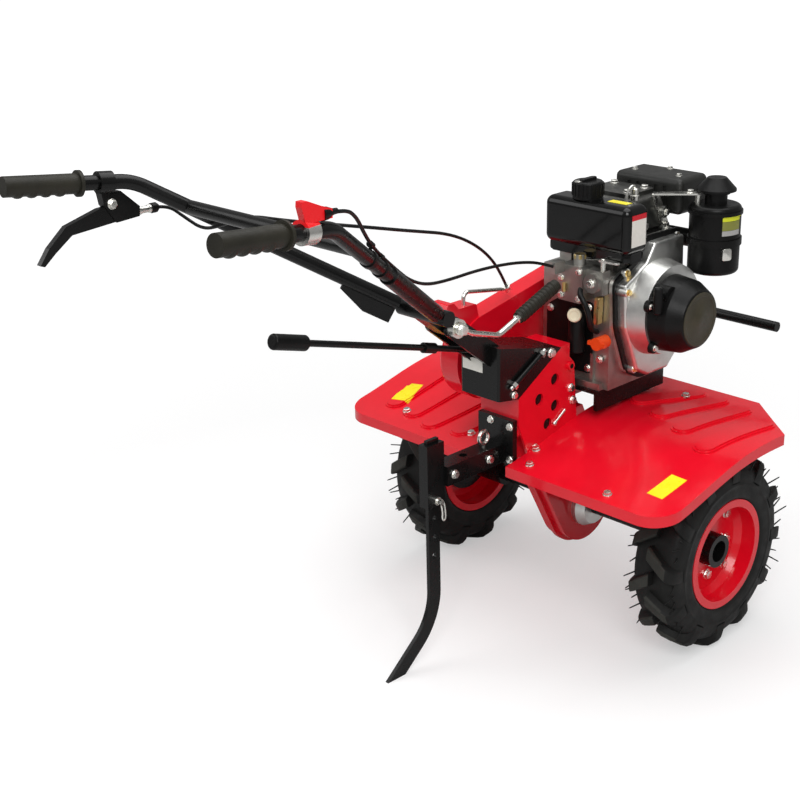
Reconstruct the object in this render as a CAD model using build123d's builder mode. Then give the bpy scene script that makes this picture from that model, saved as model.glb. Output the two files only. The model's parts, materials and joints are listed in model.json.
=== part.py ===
from build123d import *
import math
import os

os.makedirs("parts", exist_ok=True)

# Driving dimensions, in millimetres. Side-view places are given from the axle:
# x forward of the axle, z above the floor.

# Overall reach, from the axle to the grip ends and to the front of the bumper bar
REAR_REACH = 1105.0
FRONT_REACH = 415.0

# Tyres
TYRE_RADIUS = 200.0
TYRE_WIDTH = 105.0
CARCASS_RADIUS = 182.0
CARCASS_SIDES = 24
SHOULDER_CHAMFER = 18.0
BEAD_RADIUS = 102.0
BEAD_INSET = 8.0
HALF_TRACK = 332.0
LUG_COUNT = 12
LUG_WIDTH = 30.0
LUG_SLANT = 36.0
LUG_OVERLAP = 5.0
LUG_ROOT_RADIUS = 150.0
LUG_SIDE_INSET = 1.0
LUG_CORNER = 10.0

# Rims and hubs
RIM_WALL = 4.0
RIM_LIP_RADIUS = 113.0
RIM_CONE_RADIUS = 89.0
RIM_CONE_DEPTH = 14.0
HUB_RADIUS = 34.0
HUB_BORE_RADIUS = 22.0
HUB_BORE_DEPTH = 26.0
HUB_NOSE = 26.0
HUB_FLANGE_RADIUS = 70.0
HUB_FLANGE_THICKNESS = 8.0
HUB_SLEEVE_RADIUS = 27.0
HUB_SLEEVE_LENGTH = 120.0
SHAFT_RADIUS = 16.0
SHAFT_RUNNING_CLEARANCE = 0.05
RIM_BOLT_CIRCLE = 59.0
RIM_BOLT_HOLE_RADIUS = 5.5
RIM_BOLT_COUNT = 4
FIT_GAP = 0.3

# Gear case: a narrow leg to the axle under a wider transmission box
LEG_HALF_WIDTH = 25.0
LEG_FOOT_RADIUS = 84.0
LEG_TOP_X = -135.0
LEG_TOP_Z = 465.0
LEG_TOP_RADIUS = 90.0
LEG_SEAM_HALF_WIDTH = 5.0
LEG_SEAM_RISE = 7.0
BOX_HALF_WIDTH = 44.0
BOX_REAR_X = -245.0
BOX_FRONT_X = -86.0
BOX_BOTTOM_Z = 430.0
BOX_TOP_Z = 585.0
SEAT_REAR_Z = 511.0
SEAT_FRONT_X = -119.0
AXLE_FLANGE_RADIUS = 48.0
AXLE_FLANGE_RIM = 10.0
AXLE_FLANGE_THICKNESS = 28.0

# Side plates of the frame
PLATE_THICKNESS = 6.0
PLATE_HOLE_RADIUS = 12.0
PLATE_CORNER = 6.0
PLATE_REAR_LOW_X = -213.0
PLATE_REAR_LOW_Z = 378.0
PLATE_HEEL_Z = 455.0
PLATE_FRONT_X = -66.0
PLATE_FRONT_LOW_Z = 405.0
PLATE_NOSE_X = -79.0
PLATE_NOSE_Z = 545.0
PLATE_HOLES = ((-137.0, 523.0), (-184.0, 493.0), (-136.0, 467.0), (-158.0, 434.0))
PLATE_BOSS = (-94.0, 541.0)
PLATE_BOSS_RADIUS = 9.0
PLATE_BOSS_HEIGHT = 7.0

# Handle bracket, clamp and shift lever
BRACKET_HALF_WIDTH = 50.0
BRACKET_REAR_X = -302.0
BRACKET_REAR_TOP_Z = 628.0
BRACKET_REAR_LOW_Z = 520.0
BRACKET_CORNER = 5.0
NECK_X = -283.0
NECK_Z = 600.0
NECK_RADIUS = 22.0
PIVOT_X = -400.0
PIVOT_Z = 690.0
PIVOT_RADIUS = 6.0
PIVOT_CLEARANCE = 0.05
PIVOT_HEAD_RADIUS = 10.8
EAR_RADIUS = 20.0
EAR_THICKNESS = 8.0
YOKE_LUG_HALF_WIDTH = 18.0
YOKE_SIDE_GAP = 2.0
YOKE_LUG_RADIUS = 18.0
YOKE_BAR_HALF_WIDTH = 62.0
YOKE_BAR_RADIUS = 15.0
CLAMP_ROD_RADIUS = 6.0
CLAMP_EYE_RADIUS = 18.0
CLAMP_EYE_THICKNESS = 15.0
CLAMP_KNEE_X = -360.0
CLAMP_KNEE_Z = 670.0
CLAMP_LOW_X = -288.0
CLAMP_LOW_Z = 648.0
CLAMP_END_X = -114.0
CLAMP_END_Z = 714.0
CLAMP_RISE = 61.0
CLAMP_BENDS = (20.0, 30.0)
CLAMP_GRIP_RADIUS = 12.0
CLAMP_GRIP_LENGTH = 118.0
SHIFT_ROD_RADIUS = 6.0
SHIFT_SLOPE = math.radians(15.8)
SHIFT_LENGTH = 443.0
SHIFT_ENTRY_Z = 615.0
SHIFT_COLLAR_RADIUS = 10.0
SHIFT_COLLAR_LENGTH = 30.0
SHIFT_COLLAR_FROM = 126.0
KNOB_RADIUS = 14.0
KNOB_LENGTH = 76.0
KNOB_ROUND = 4.6

# Handlebar
TUBE_RADIUS = 12.7
TUBE_WALL = 2.5
TUBE_BEND_RADIUS = 90.0
TUBE_BASE_X = -446.0
TUBE_BASE_Y = 38.0
TUBE_BASE_Z = 723.0
TUBE_REAR_RUN = 226.0
TUBE_BEND_Y = 252.0
TUBE_BEND_Z = 1003.0
SLEEVE_WALL = 3.3
SLEEVE_SHARE = 0.53
GUSSET_LENGTH = 112.0
GUSSET_DEPTH = 40.0
GUSSET_TIP = 20.0
GUSSET_THICKNESS = 8.0
GRIP_END_Y = 278.0
GRIP_END_Z = 1027.0
GRIP_RADIUS = 17.0
GRIP_LENGTH = 132.0
GRIP_END_WALL = 8.0
GRIP_FLANGE_RADIUS = 22.0
GRIP_FLANGE_LENGTH = 6.0
CROSSBAR_SHARE = 0.19

# Hand controls, their outlines given from the tube's bend
RING_WALL = 6.0
RING_LENGTH = 26.0
RING_START = 38.0
CONTROL_OUT = 10.0
PERCH_HALF_WIDTH = 9.0
PERCH_OUTLINE = ((12.0, -45.0), (-23.0, -13.0), (-61.0, -9.0), (-57.0, -33.0), (-36.0, -65.0), (10.0, -62.0))
BLADE_HALF_WIDTH = 6.0
BLADE_OUTLINE = (
    (-33.0, -35.0),
    (-66.0, -37.0),
    (-131.0, -55.0),
    (-166.0, -85.0),
    (-185.0, -110.0),
    (-177.0, -113.0),
    (-155.0, -95.0),
    (-121.0, -71.0),
    (-33.0, -64.0),
)
BARREL_RADIUS = 5.0
BARREL_START = 8.0
BARREL_END = 43.0
BARREL_DROP = 55.0
THUMB_HALF_WIDTH = 7.0
THUMB_OUTLINE = (
    (-10.0, 20.0),
    (-10.0, 34.0),
    (-30.0, 41.0),
    (-55.0, 52.0),
    (-65.0, 52.0),
    (-66.0, 44.0),
    (-60.0, 20.0),
)

# Hitch, eye and drag stake
HITCH_PLATE_THICKNESS = 12.0
HITCH_PLATE_HALF_WIDTH = 46.0
HITCH_PLATE_LOW_Z = 372.0
HITCH_PLATE_HIGH_Z = 466.0
DRAWBAR_HALF_WIDTH = 20.0
DRAWBAR_LOW_Z = 372.0
DRAWBAR_HIGH_Z = 412.0
HITCH_PIN_RADIUS = 8.0
HITCH_PIN_CLEARANCE = 0.25
HITCH_PIN_X = -350.0
EYE_X = -291.0
EYE_RADIUS = 13.0
EYE_WIRE = 4.0
EYE_STEM = 6.0
STAKE_X = -436.0
STAKE_DEPTH = 30.0
STAKE_THICKNESS = 8.0
STAKE_TOP_Z = 472.0
STAKE_BEND_Z = 92.0
STAKE_BEND_RADIUS = 130.0
STAKE_FOOT_X = -546.0
STAKE_HOLE_RADIUS = 5.5
STAKE_HOLE_PITCH = 40.0
STAKE_HOLE_COUNT = 4
SOCKET_WALL = 7.0
SOCKET_CLEARANCE = 0.5
SOCKET_LOW_Z = 335.0
SOCKET_HIGH_Z = 464.0
STAKE_PIN_RADIUS = 5.0
STAKE_PIN_CLEARANCE = 0.1
STAKE_PIN_Z = 348.0
STAKE_PIN_REACH = 16.0
STAKE_PIN_GAP = 1.0
STAKE_PIN_HEAD_RADIUS = 8.5
STAKE_PIN_HEAD_LENGTH = 5.0

# Fenders, with raised fingers pressed into them
FENDER_THICKNESS = 3.0
FENDER_REAR_X = -283.0
FENDER_FRONT_X = 226.0
FENDER_OUTER_Y = 425.0
FENDER_REAR_Z = 381.0
FENDER_SHOULDER_X = -155.0
FENDER_SHOULDER_RISE = 24.0
FENDER_BROW_X = -40.0
FENDER_BROW_DROP = 2.0
FENDER_TOP_Z = 432.0
FENDER_REAR_SLOPE = 0.1
FENDER_SKIRT = 22.0
FENDER_REAR_CORNER = 60.0
FENDER_CHAMFER_X = 120.0
FENDER_CHAMFER_Y = 134.0
RIB_HEIGHT = 6.0
RIB_RADIUS = 24.0
RIB_BEVEL = 4.0
RIGHT_RIBS = (
    ((66.0, -112.0), (176.0, -168.0)),
    ((34.0, -186.0), (176.0, -224.0)),
    ((2.0, -262.0), (160.0, -288.0)),
    ((-40.0, -344.0), (122.0, -366.0)),
)
LEFT_RIBS = (
    ((-222.0, 128.0), (-112.0, 100.0)),
    ((-232.0, 204.0), (-104.0, 172.0)),
    ((-216.0, 270.0), (-86.0, 254.0)),
    ((-206.0, 338.0), (-86.0, 334.0)),
)

# Belt cover
COVER_INNER_Y = 88.0
COVER_OUTER_Y = 140.0
COVER_EDGE = 8.0
COVER_REAR_X = -182.0
COVER_REAR_Z = 553.0
COVER_REAR_RADIUS = 90.0
COVER_FRONT_RADIUS = 46.0
COVER_POST_RADIUS = 8.0
COVER_POSTS = ((-33.0, -73.0), (72.0, -53.0), (17.0, -7.0))
TENSION_LEFT_Y = 134.0
TENSION_RIGHT_Y = 92.0
TENSION_CORNER = 5.0
TENSION_OUTLINE = (
    (-118.0, 110.0),
    (-110.0, 130.0),
    (-94.0, 130.0),
    (-80.0, 115.0),
    (-30.0, 115.0),
    (-22.0, 80.0),
    (-60.0, 55.0),
    (-84.0, 68.0),
)

# Engine, with the crankshaft across the machine
CRANK_X = 55.0
CRANK_Z = 644.0
ENGINE_BASE_Z = 488.0
BLOCK_REAR_X = -45.0
BLOCK_FRONT_X = 150.0
BLOCK_LEFT_Y = 60.0
BLOCK_RIGHT_Y = -110.0
BLOCK_TOP_Z = 725.0
BLOCK_FOOT_REACH = 14.0
BLOCK_FOOT_HEIGHT = 14.0
BLOCK_RIB_DEPTH = 6.0
BLOCK_RIB_WIDTH = 7.0
BLOCK_RIBS = (35.0, 12.0, -72.0)
PTO_RADIUS = 15.0
SHROUD_FLANGE = 12.0
SHROUD_SCROLL = 22.0
SHROUD_CONE = 38.0
SHROUD_CONE_X = 62.0
SHROUD_CONE_Z = 648.0
SHROUD_CONE_RADIUS = 98.0
SHROUD_TAPER = 12.0
SHROUD_CORNER = 14.0
SHROUD_STEP = 9.0
SHROUD_EDGE = 6.0
SHROUD_OUTLINE = (
    (46.0, 788.0),
    (18.0, 748.0),
    (-50.0, 716.0),
    (-44.0, 622.0),
    (-4.0, 520.0),
    (38.0, 498.0),
    (112.0, 498.0),
    (150.0, 535.0),
    (160.0, 640.0),
    (155.0, 788.0),
)
RECOIL_BASE_RADIUS = 77.0
RECOIL_WAIST_RADIUS = 73.0
RECOIL_FACE_RADIUS = 57.0
RECOIL_WAIST_DEPTH = 40.0
RECOIL_DEPTH = 70.0
RECOIL_EDGE = 5.0
ROPE_GUIDE_X = -46.0
ROPE_GUIDE_Z = 52.0
ROPE_GUIDE_RADIUS = 17.0
ROPE_GUIDE_DEPTH = 34.0
HEAD_REAR_X = 40.0
HEAD_FRONT_X = 140.0
HEAD_LEFT_Y = 45.0
HEAD_RIGHT_Y = -100.0
HEAD_FIN_TOP_Z = 806.0
HEAD_TOP_Z = 858.0
FIN_FIRST = 6.0
FIN_PITCH = 14.0
FIN_GAP = 8.0
FIN_DEPTH = 12.0
HEAD_ROUND = 8.0
MOUNT_PLATE = 8.0
MOUNT_RAIL_LOW_Z = 446.0
MOUNT_PLATE_GAP = 2.0
MOUNT_LEFT_Y = 75.0
MOUNT_RIGHT_Y = -98.0
MOUNT_FRONT_X = 158.0

# Tank, air cleaner and muffler
TANK_REAR_X = -55.0
TANK_FRONT_X = 14.0
TANK_LEFT_Y = 55.0
TANK_RIGHT_Y = -155.0
TANK_LOW_Z = 772.0
TANK_HIGH_Z = 866.0
TANK_ROUND = 16.0
TANK_POST = 30.0
CAP_RADIUS = 30.0
CAP_HEIGHT = 34.0
CAP_ROUND = 5.0
CAP_Y = -29.0
CLEANER_X = 184.0
CLEANER_Y = -188.0
CLEANER_RADIUS = 51.0
CLEANER_LOW_Z = 704.0
CLEANER_HIGH_Z = 842.0
CLEANER_ROUND = 9.0
CLEANER_BAND_RADIUS = 54.0
CLEANER_BANDS = ((762.0, 776.0), (824.0, 831.0))
CLEANER_NECK_RADIUS = 22.0
CLEANER_NECK_HEIGHT = 26.0
NECK_RING_RADIUS = 27.0
NECK_RING_HEIGHT = 6.0
RAIN_CAP_RADIUS = 39.0
RAIN_CAP_TOP_RADIUS = 19.0
RAIN_CAP_BRIM = 4.0
RAIN_CAP_HEIGHT = 26.0
INTAKE_RADIUS = 18.0
INTAKE_X = 184.0
INTAKE_Y = -62.0
INTAKE_Z = 762.0
INTAKE_BEND = 24.0
MUFFLER_REAR_X = 148.0
MUFFLER_FRONT_X = 244.0
MUFFLER_LEFT_Y = 38.0
MUFFLER_RIGHT_Y = -128.0
MUFFLER_LOW_Z = 812.0
MUFFLER_HIGH_Z = 885.0
MUFFLER_ROUND = 12.0
LOUVRE_COUNT = 5
LOUVRE_PITCH = 22.0
LOUVRE_WIDTH = 9.0
LOUVRE_HEIGHT = 40.0
LOUVRE_DEPTH = 3.0
PORT_HALF_WIDTH = 28.0
PORT_Y = -30.0
PORT_LAP = 2.0

# Rear engine fittings
PUMP_DEPTH = 35.0
PUMP_LEFT_Y = -4.0
PUMP_RIGHT_Y = -68.0
PUMP_LOW_Z = 668.0
PUMP_HIGH_Z = 742.0
PUMP_ROUND = 8.0
DELIVERY_RADIUS = 12.0
DELIVERY_Y = -46.0
DELIVERY_HEIGHT = 22.0
GOVERNOR_DEPTH = 23.0
GOVERNOR_RIGHT_Y = -108.0
GOVERNOR_LOW_Z = 690.0
GOVERNOR_HIGH_Z = 738.0
GOVERNOR_DISC_RADIUS = 19.0
GOVERNOR_DISC_DEPTH = 11.0
CABLE_SEAT_REACH = 30.0
CABLE_SEAT_HALF = 8.0
CABLE_SEAT_BORE = 20.0
FILLER_RADIUS = 13.0
FILLER_REACH = 32.0
FILLER_WING = 21.0
FILLER_WING_HALF = 4.0
FILLER_WING_DEPTH = 8.0
FILLER_Y = -102.0
FILLER_Z = 592.0
FILTER_RADIUS = 17.0
FILTER_STANDOFF = 1.0
FILTER_HEIGHT = 92.0
FILTER_Y = -42.0
FILTER_LOW_Z = 560.0
FILTER_ROUND = 4.0
FILTER_BAND_LOW = 34.0
FILTER_BAND_HIGH = 54.0
FILTER_BAND_HALF = 8.0

# Bumper bar
BAR_RADIUS = 11.0
BAR_Z = 537.0
BAR_HALF_LENGTH = 215.0
BAR_ARM_THICKNESS = 8.0
BAR_ARM_REAR_X = 92.0
BAR_ARM_RIGHT_Y = -40.0
BAR_ARM_HALF_DEPTH = 7.0
BAR_COLLAR_RADIUS = 14.0
BAR_COLLAR_MARGIN = 4.0

# Cables and their stay; each route is given from the tube's bend, then from where it ends
STAY_RADIUS = 4.0
STAY_Y = 101.0
STAY_FOOT_X = -240.0
STAY_KNEE_Z = 696.0
STAY_FRONT_X = -110.0
STAY_FRONT_Z = 674.0
STAY_BEND = 12.0
STAY_SLEEVE_RADIUS = 7.0
STAY_SLEEVE_BACK = 14.0
STAY_SLEEVE_FRONT = 4.0
CABLE_RADIUS = 3.0
ARC_SHARE = 0.45
CLUTCH_FROM_BEND = (
    (43.0, 10.0, -55.0),
    (73.0, 10.0, -55.0),
    (93.0, -12.0, -78.0),
    (103.0, -48.0, -95.0),
    (109.0, -94.0, -82.0),
    (115.0, -162.0, -55.0),
    (128.0, -238.0, -54.0),
    (177.0, -298.0, -60.0),
    (250.0, -319.0, -76.0),
    (324.0, -310.0, -96.0),
    (397.0, -291.0, -116.0),
)
CLUTCH_FROM_STAY = (
    (-301.0, -118.0, 193.0),
    (-232.0, -96.0, 167.0),
    (-165.0, -72.0, 134.0),
    (-104.0, -48.0, 96.0),
    (-49.0, -24.0, 51.0),
    (0.0, 0.0, 0.0),
)
THROTTLE_END_Y = -15.0
THROTTLE_END_Z = 735.0
THROTTLE_END_DEPTH = 12.0
THROTTLE_FROM_BEND = (
    (-10.0, -10.0, 26.0),
    (22.0, -10.0, 26.0),
    (57.0, 8.0, 5.0),
    (91.0, 32.0, -27.0),
    (127.0, 56.0, -58.0),
    (175.0, 86.0, -91.0),
    (239.0, 120.0, -133.0),
    (304.0, 156.0, -173.0),
    (374.0, 186.0, -202.0),
)
THROTTLE_FROM_PUMP = (
    (-338.0, -31.0, 55.0),
    (-260.0, -19.0, 52.0),
    (-185.0, -13.0, 47.0),
    (-113.0, -7.0, 37.0),
    (-53.0, -3.0, 22.0),
    (0.0, 0.0, 0.0),
)

# Places that follow from the driving dimensions
AXLE_X = (REAR_REACH - FRONT_REACH) / 2
AXLE_Z = TYRE_RADIUS
AXLE_AXIS = Axis((AXLE_X, 0, AXLE_Z), (0, 1, 0))
PLATE_OUTER_Y = BOX_HALF_WIDTH + PLATE_THICKNESS
TYRE_INNER_Y = HALF_TRACK - TYRE_WIDTH / 2
TYRE_OUTER_Y = HALF_TRACK + TYRE_WIDTH / 2
BEAD_INNER_Y = TYRE_INNER_Y + BEAD_INSET
BEAD_OUTER_Y = TYRE_OUTER_Y - BEAD_INSET
RIM_RADIUS = BEAD_RADIUS - FIT_GAP
BARREL_RADIUS_INSIDE = RIM_RADIUS - RIM_WALL
DISC_OUTER_Y = HALF_TRACK + RIM_WALL
DISC_INNER_Y = HALF_TRACK - RIM_WALL
TUBE_BEND_X = TUBE_REAR_RUN - REAR_REACH
CONTROL_Y = TUBE_BEND_Y + CONTROL_OUT
SHROUD_SCROLL_Y = BLOCK_RIGHT_Y - SHROUD_FLANGE
SHROUD_CONE_Y = SHROUD_SCROLL_Y - SHROUD_SCROLL
SHROUD_FACE_Y = SHROUD_CONE_Y - SHROUD_CONE
PUMP_REAR_X = BLOCK_REAR_X - PUMP_DEPTH
MOUNT_LOW_Z = ENGINE_BASE_Z - MOUNT_PLATE
RIGHT, LEFT = -1, 1


def at(x, y, z):
    """A point given from the axle, in the part's frame."""
    return Vector(AXLE_X + x, y, z)


def side_plane(y):
    """Side view at one lateral place: local x is forward, local y is up."""
    return Plane(origin=(AXLE_X, y, 0), x_dir=(1, 0, 0), z_dir=(0, -1, 0))


def slab(outline, y_left, y_right, mode=Mode.ADD, corner=0.0, inset=0.0):
    """A straight-sided outline seen from the side, extruded between two lateral places."""
    with BuildSketch(side_plane(y_left)) as profile:
        with BuildLine():
            Polyline(*outline, close=True)
        make_face()
        if corner:
            fillet(profile.vertices(), corner)
        if inset:
            offset(amount=-inset, mode=Mode.REPLACE)
    extrude(profile.sketch, amount=y_left - y_right, mode=mode)


def block(low, high, mode=Mode.ADD):
    """A box between two opposite corners given from the axle."""
    with BuildSketch(Plane(origin=at(0, 0, low[2]))) as plan:
        with Locations(((low[0] + high[0]) / 2, (low[1] + high[1]) / 2)):
            Rectangle(high[0] - low[0], high[1] - low[1])
    extrude(plan.sketch, amount=high[2] - low[2], mode=mode)


def rod(start, end, radius, mode=Mode.ADD):
    """A round bar from one point to another."""
    along = end - start
    with BuildSketch(Plane(origin=start, z_dir=along)) as section:
        Circle(radius)
    extrude(section.sketch, amount=along.length, mode=mode)


def cross_rod(x, z, y_left, y_right, radius, mode=Mode.ADD):
    """A round bar across the machine."""
    rod(at(x, y_left, z), at(x, y_right, z), radius, mode)


def post(x, y, z_low, z_high, radius, mode=Mode.ADD):
    """An upright round bar."""
    rod(at(x, y, z_low), at(x, y, z_high), radius, mode)


def bent_rod(points, bends, radius):
    """A round bar along straight runs joined by tangent arcs."""
    with BuildLine() as path:
        FilletPolyline(*points, radius=bends)
    start = path.line @ 0
    with BuildSketch(Plane(origin=start, z_dir=path.line % 0)) as section:
        Circle(radius)
    sweep(section.sketch, path=path.line)


def turned(profile, side, mode=Mode.ADD):
    """A ring about the axle, from points given as distance out from the middle and radius."""
    plane = Plane(origin=(AXLE_X, 0, AXLE_Z), x_dir=(0, side, 0), z_dir=(side, 0, 0))
    with BuildSketch(plane) as section:
        with BuildLine():
            Polyline(*profile, close=True)
        make_face()
    revolve(section.sketch, axis=AXLE_AXIS, mode=mode)


def two_circle_slab(first, first_radius, second, second_radius, y_left, y_right):
    """The outline round two circles seen from the side, extruded across."""
    with BuildSketch(side_plane(y_left)) as outline:
        with Locations(first):
            Circle(first_radius)
        with Locations(second):
            Circle(second_radius)
        make_hull()
    extrude(outline.sketch, amount=y_left - y_right)


def cone_across(x, z, y_start, start_radius, y_end, end_radius):
    """A cone across the machine between two lateral places."""
    with BuildSketch(side_plane(y_start)) as wide:
        with Locations((x, z)):
            Circle(start_radius)
    with BuildSketch(side_plane(y_end)) as narrow:
        with Locations((x, z)):
            Circle(end_radius)
    loft(sections=(wide.sketch, narrow.sketch))


def save(piece, label):
    """Names a finished piece and writes it."""
    piece.part.label = label
    export_step(piece.part, f"parts/{label}.step")


# Right tyre: a many-sided carcass with two staggered rows of slanted lugs, and the left tyre as its mirror
lug_end = math.hypot(TYRE_WIDTH / 2, LUG_SLANT) * (1 - LUG_SIDE_INSET / (TYRE_WIDTH / 2))
lug_corner_height = math.sqrt((TYRE_RADIUS - LUG_CORNER) ** 2 - LUG_SLANT**2) - LUG_ROOT_RADIUS
with BuildPart() as lugs:
    for row, stagger in ((1, 0.0), (-1, 0.5)):
        for k in range(LUG_COUNT):
            turn = math.pi + 2 * math.pi * (k + stagger) / LUG_COUNT
            outward = Vector(math.sin(turn), 0, math.cos(turn))
            around = outward.cross(Vector(0, 1, 0))
            slant = (Vector(0, row * TYRE_WIDTH / 2, 0) + around * LUG_SLANT).normalized()
            root = at(0, RIGHT * HALF_TRACK, AXLE_Z) + outward * LUG_ROOT_RADIUS
            with BuildSketch(Plane(origin=root, x_dir=slant, z_dir=slant.cross(outward))) as lug:
                with BuildLine():
                    Polyline(
                        (-LUG_OVERLAP, 0),
                        (lug_end, 0),
                        (lug_end, lug_corner_height),
                        (lug_end - LUG_WIDTH, lug_corner_height + LUG_WIDTH),
                        (-LUG_OVERLAP, lug_corner_height + LUG_WIDTH),
                        close=True,
                    )
                make_face()
            extrude(lug.sketch, amount=LUG_WIDTH / 2, dir=around, both=True)
    cross_rod(0, AXLE_Z, RIGHT * TYRE_INNER_Y, RIGHT * TYRE_OUTER_Y, TYRE_RADIUS, Mode.INTERSECT)
with BuildPart() as tyre_right:
    with BuildSketch(side_plane(RIGHT * TYRE_INNER_Y)) as carcass:
        with Locations((0, AXLE_Z)):
            RegularPolygon(CARCASS_RADIUS, CARCASS_SIDES)
    extrude(carcass.sketch, amount=TYRE_WIDTH)
    chamfer(tyre_right.faces().filter_by(Axis.Y).edges(), SHOULDER_CHAMFER)
    add(lugs.part)
    for start_y, end_y, radius in (
        (TYRE_INNER_Y, BEAD_INNER_Y, RIM_LIP_RADIUS + FIT_GAP),
        (BEAD_INNER_Y, BEAD_OUTER_Y, BEAD_RADIUS),
        (BEAD_OUTER_Y, TYRE_OUTER_Y, RIM_LIP_RADIUS + FIT_GAP),
    ):
        cross_rod(0, AXLE_Z, RIGHT * start_y, RIGHT * end_y, radius, Mode.SUBTRACT)
save(tyre_right, "tyre_right")
with BuildPart() as tyre_left:
    mirror(tyre_right.part, about=Plane.XZ)
save(tyre_left, "tyre_left")

# Rims: a dished disc with a lip over each bead, drilled for the hub bolts
for side, word in ((RIGHT, "right"), (LEFT, "left")):
    with BuildPart() as rim:
        turned(
            (
                (BEAD_INNER_Y - RIM_WALL, RIM_LIP_RADIUS),
                (BEAD_INNER_Y, RIM_LIP_RADIUS),
                (BEAD_INNER_Y, RIM_RADIUS),
                (BEAD_OUTER_Y, RIM_RADIUS),
                (BEAD_OUTER_Y, RIM_LIP_RADIUS),
                (BEAD_OUTER_Y + RIM_WALL, RIM_LIP_RADIUS),
                (BEAD_OUTER_Y + RIM_WALL, BARREL_RADIUS_INSIDE),
                (DISC_OUTER_Y + RIM_CONE_DEPTH, BARREL_RADIUS_INSIDE),
                (DISC_OUTER_Y, RIM_CONE_RADIUS),
                (DISC_OUTER_Y, HUB_RADIUS + FIT_GAP),
                (DISC_INNER_Y, HUB_RADIUS + FIT_GAP),
                (DISC_INNER_Y, RIM_CONE_RADIUS),
                (DISC_INNER_Y - RIM_CONE_DEPTH, BARREL_RADIUS_INSIDE),
                (BEAD_INNER_Y - RIM_WALL, BARREL_RADIUS_INSIDE),
            ),
            side,
        )
        for k in range(RIM_BOLT_COUNT):
            angle = 2 * math.pi * k / RIM_BOLT_COUNT
            cross_rod(
                RIM_BOLT_CIRCLE * math.sin(angle),
                AXLE_Z + RIM_BOLT_CIRCLE * math.cos(angle),
                side * DISC_INNER_Y,
                side * DISC_OUTER_Y,
                RIM_BOLT_HOLE_RADIUS,
                Mode.SUBTRACT,
            )
    save(rim, f"rim_{word}")

# Hubs: flange behind the disc, open nose through it, sleeve and half shaft
for side, word in ((RIGHT, "right"), (LEFT, "left")):
    nose_end = DISC_OUTER_Y + HUB_NOSE
    flange_in = DISC_INNER_Y - HUB_FLANGE_THICKNESS
    with BuildPart() as hub:
        turned(
            (
                (LEG_HALF_WIDTH + FIT_GAP, 0),
                (nose_end - HUB_BORE_DEPTH, 0),
                (nose_end - HUB_BORE_DEPTH, HUB_BORE_RADIUS),
                (nose_end, HUB_BORE_RADIUS),
                (nose_end, HUB_RADIUS),
                (DISC_INNER_Y, HUB_RADIUS),
                (DISC_INNER_Y, HUB_FLANGE_RADIUS),
                (flange_in, HUB_FLANGE_RADIUS),
                (flange_in, HUB_SLEEVE_RADIUS),
                (flange_in - HUB_SLEEVE_LENGTH, HUB_SLEEVE_RADIUS),
                (flange_in - HUB_SLEEVE_LENGTH, SHAFT_RADIUS),
                (LEG_HALF_WIDTH + FIT_GAP, SHAFT_RADIUS),
            ),
            side,
        )
    save(hub, f"hub_{word}")

# Gear case: a leg tapering to the axle, with a seam flange, and the transmission box above it
with BuildPart() as gear_case:
    for half_width, rise in ((LEG_HALF_WIDTH, 0.0), (LEG_SEAM_HALF_WIDTH, LEG_SEAM_RISE)):
        two_circle_slab(
            (0, AXLE_Z),
            LEG_FOOT_RADIUS + rise,
            (LEG_TOP_X, LEG_TOP_Z),
            LEG_TOP_RADIUS + rise,
            half_width,
            -half_width,
        )
    block(
        (BOX_REAR_X - LEG_TOP_RADIUS, -LEG_HALF_WIDTH, BOX_BOTTOM_Z),
        (BOX_FRONT_X + LEG_TOP_RADIUS, LEG_HALF_WIDTH, BOX_TOP_Z + LEG_TOP_RADIUS),
        Mode.SUBTRACT,
    )
    slab(
        (
            (BOX_REAR_X, BOX_BOTTOM_Z),
            (BOX_FRONT_X, BOX_BOTTOM_Z),
            (BOX_FRONT_X, BOX_TOP_Z),
            (SEAT_FRONT_X, BOX_TOP_Z),
            (BOX_REAR_X, SEAT_REAR_Z),
        ),
        BOX_HALF_WIDTH,
        -BOX_HALF_WIDTH,
    )
    block(
        (BOX_REAR_X, -LEG_HALF_WIDTH, HITCH_PLATE_LOW_Z),
        (LEG_TOP_X, LEG_HALF_WIDTH, BOX_BOTTOM_Z),
    )
save(gear_case, "gear_case")

# Axle bearing flanges, one on each side of the leg
with BuildPart() as axle_flanges:
    flange_end = LEG_HALF_WIDTH + AXLE_FLANGE_THICKNESS
    bearing_radius = SHAFT_RADIUS + SHAFT_RUNNING_CLEARANCE
    for side in (RIGHT, LEFT):
        turned(
            (
                (LEG_HALF_WIDTH, bearing_radius),
                (flange_end, bearing_radius),
                (flange_end, AXLE_FLANGE_RADIUS - AXLE_FLANGE_RIM),
                (LEG_HALF_WIDTH + AXLE_FLANGE_RIM, AXLE_FLANGE_RADIUS),
                (LEG_HALF_WIDTH, AXLE_FLANGE_RADIUS),
            ),
            side,
        )
save(axle_flanges, "axle_flanges")

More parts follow.
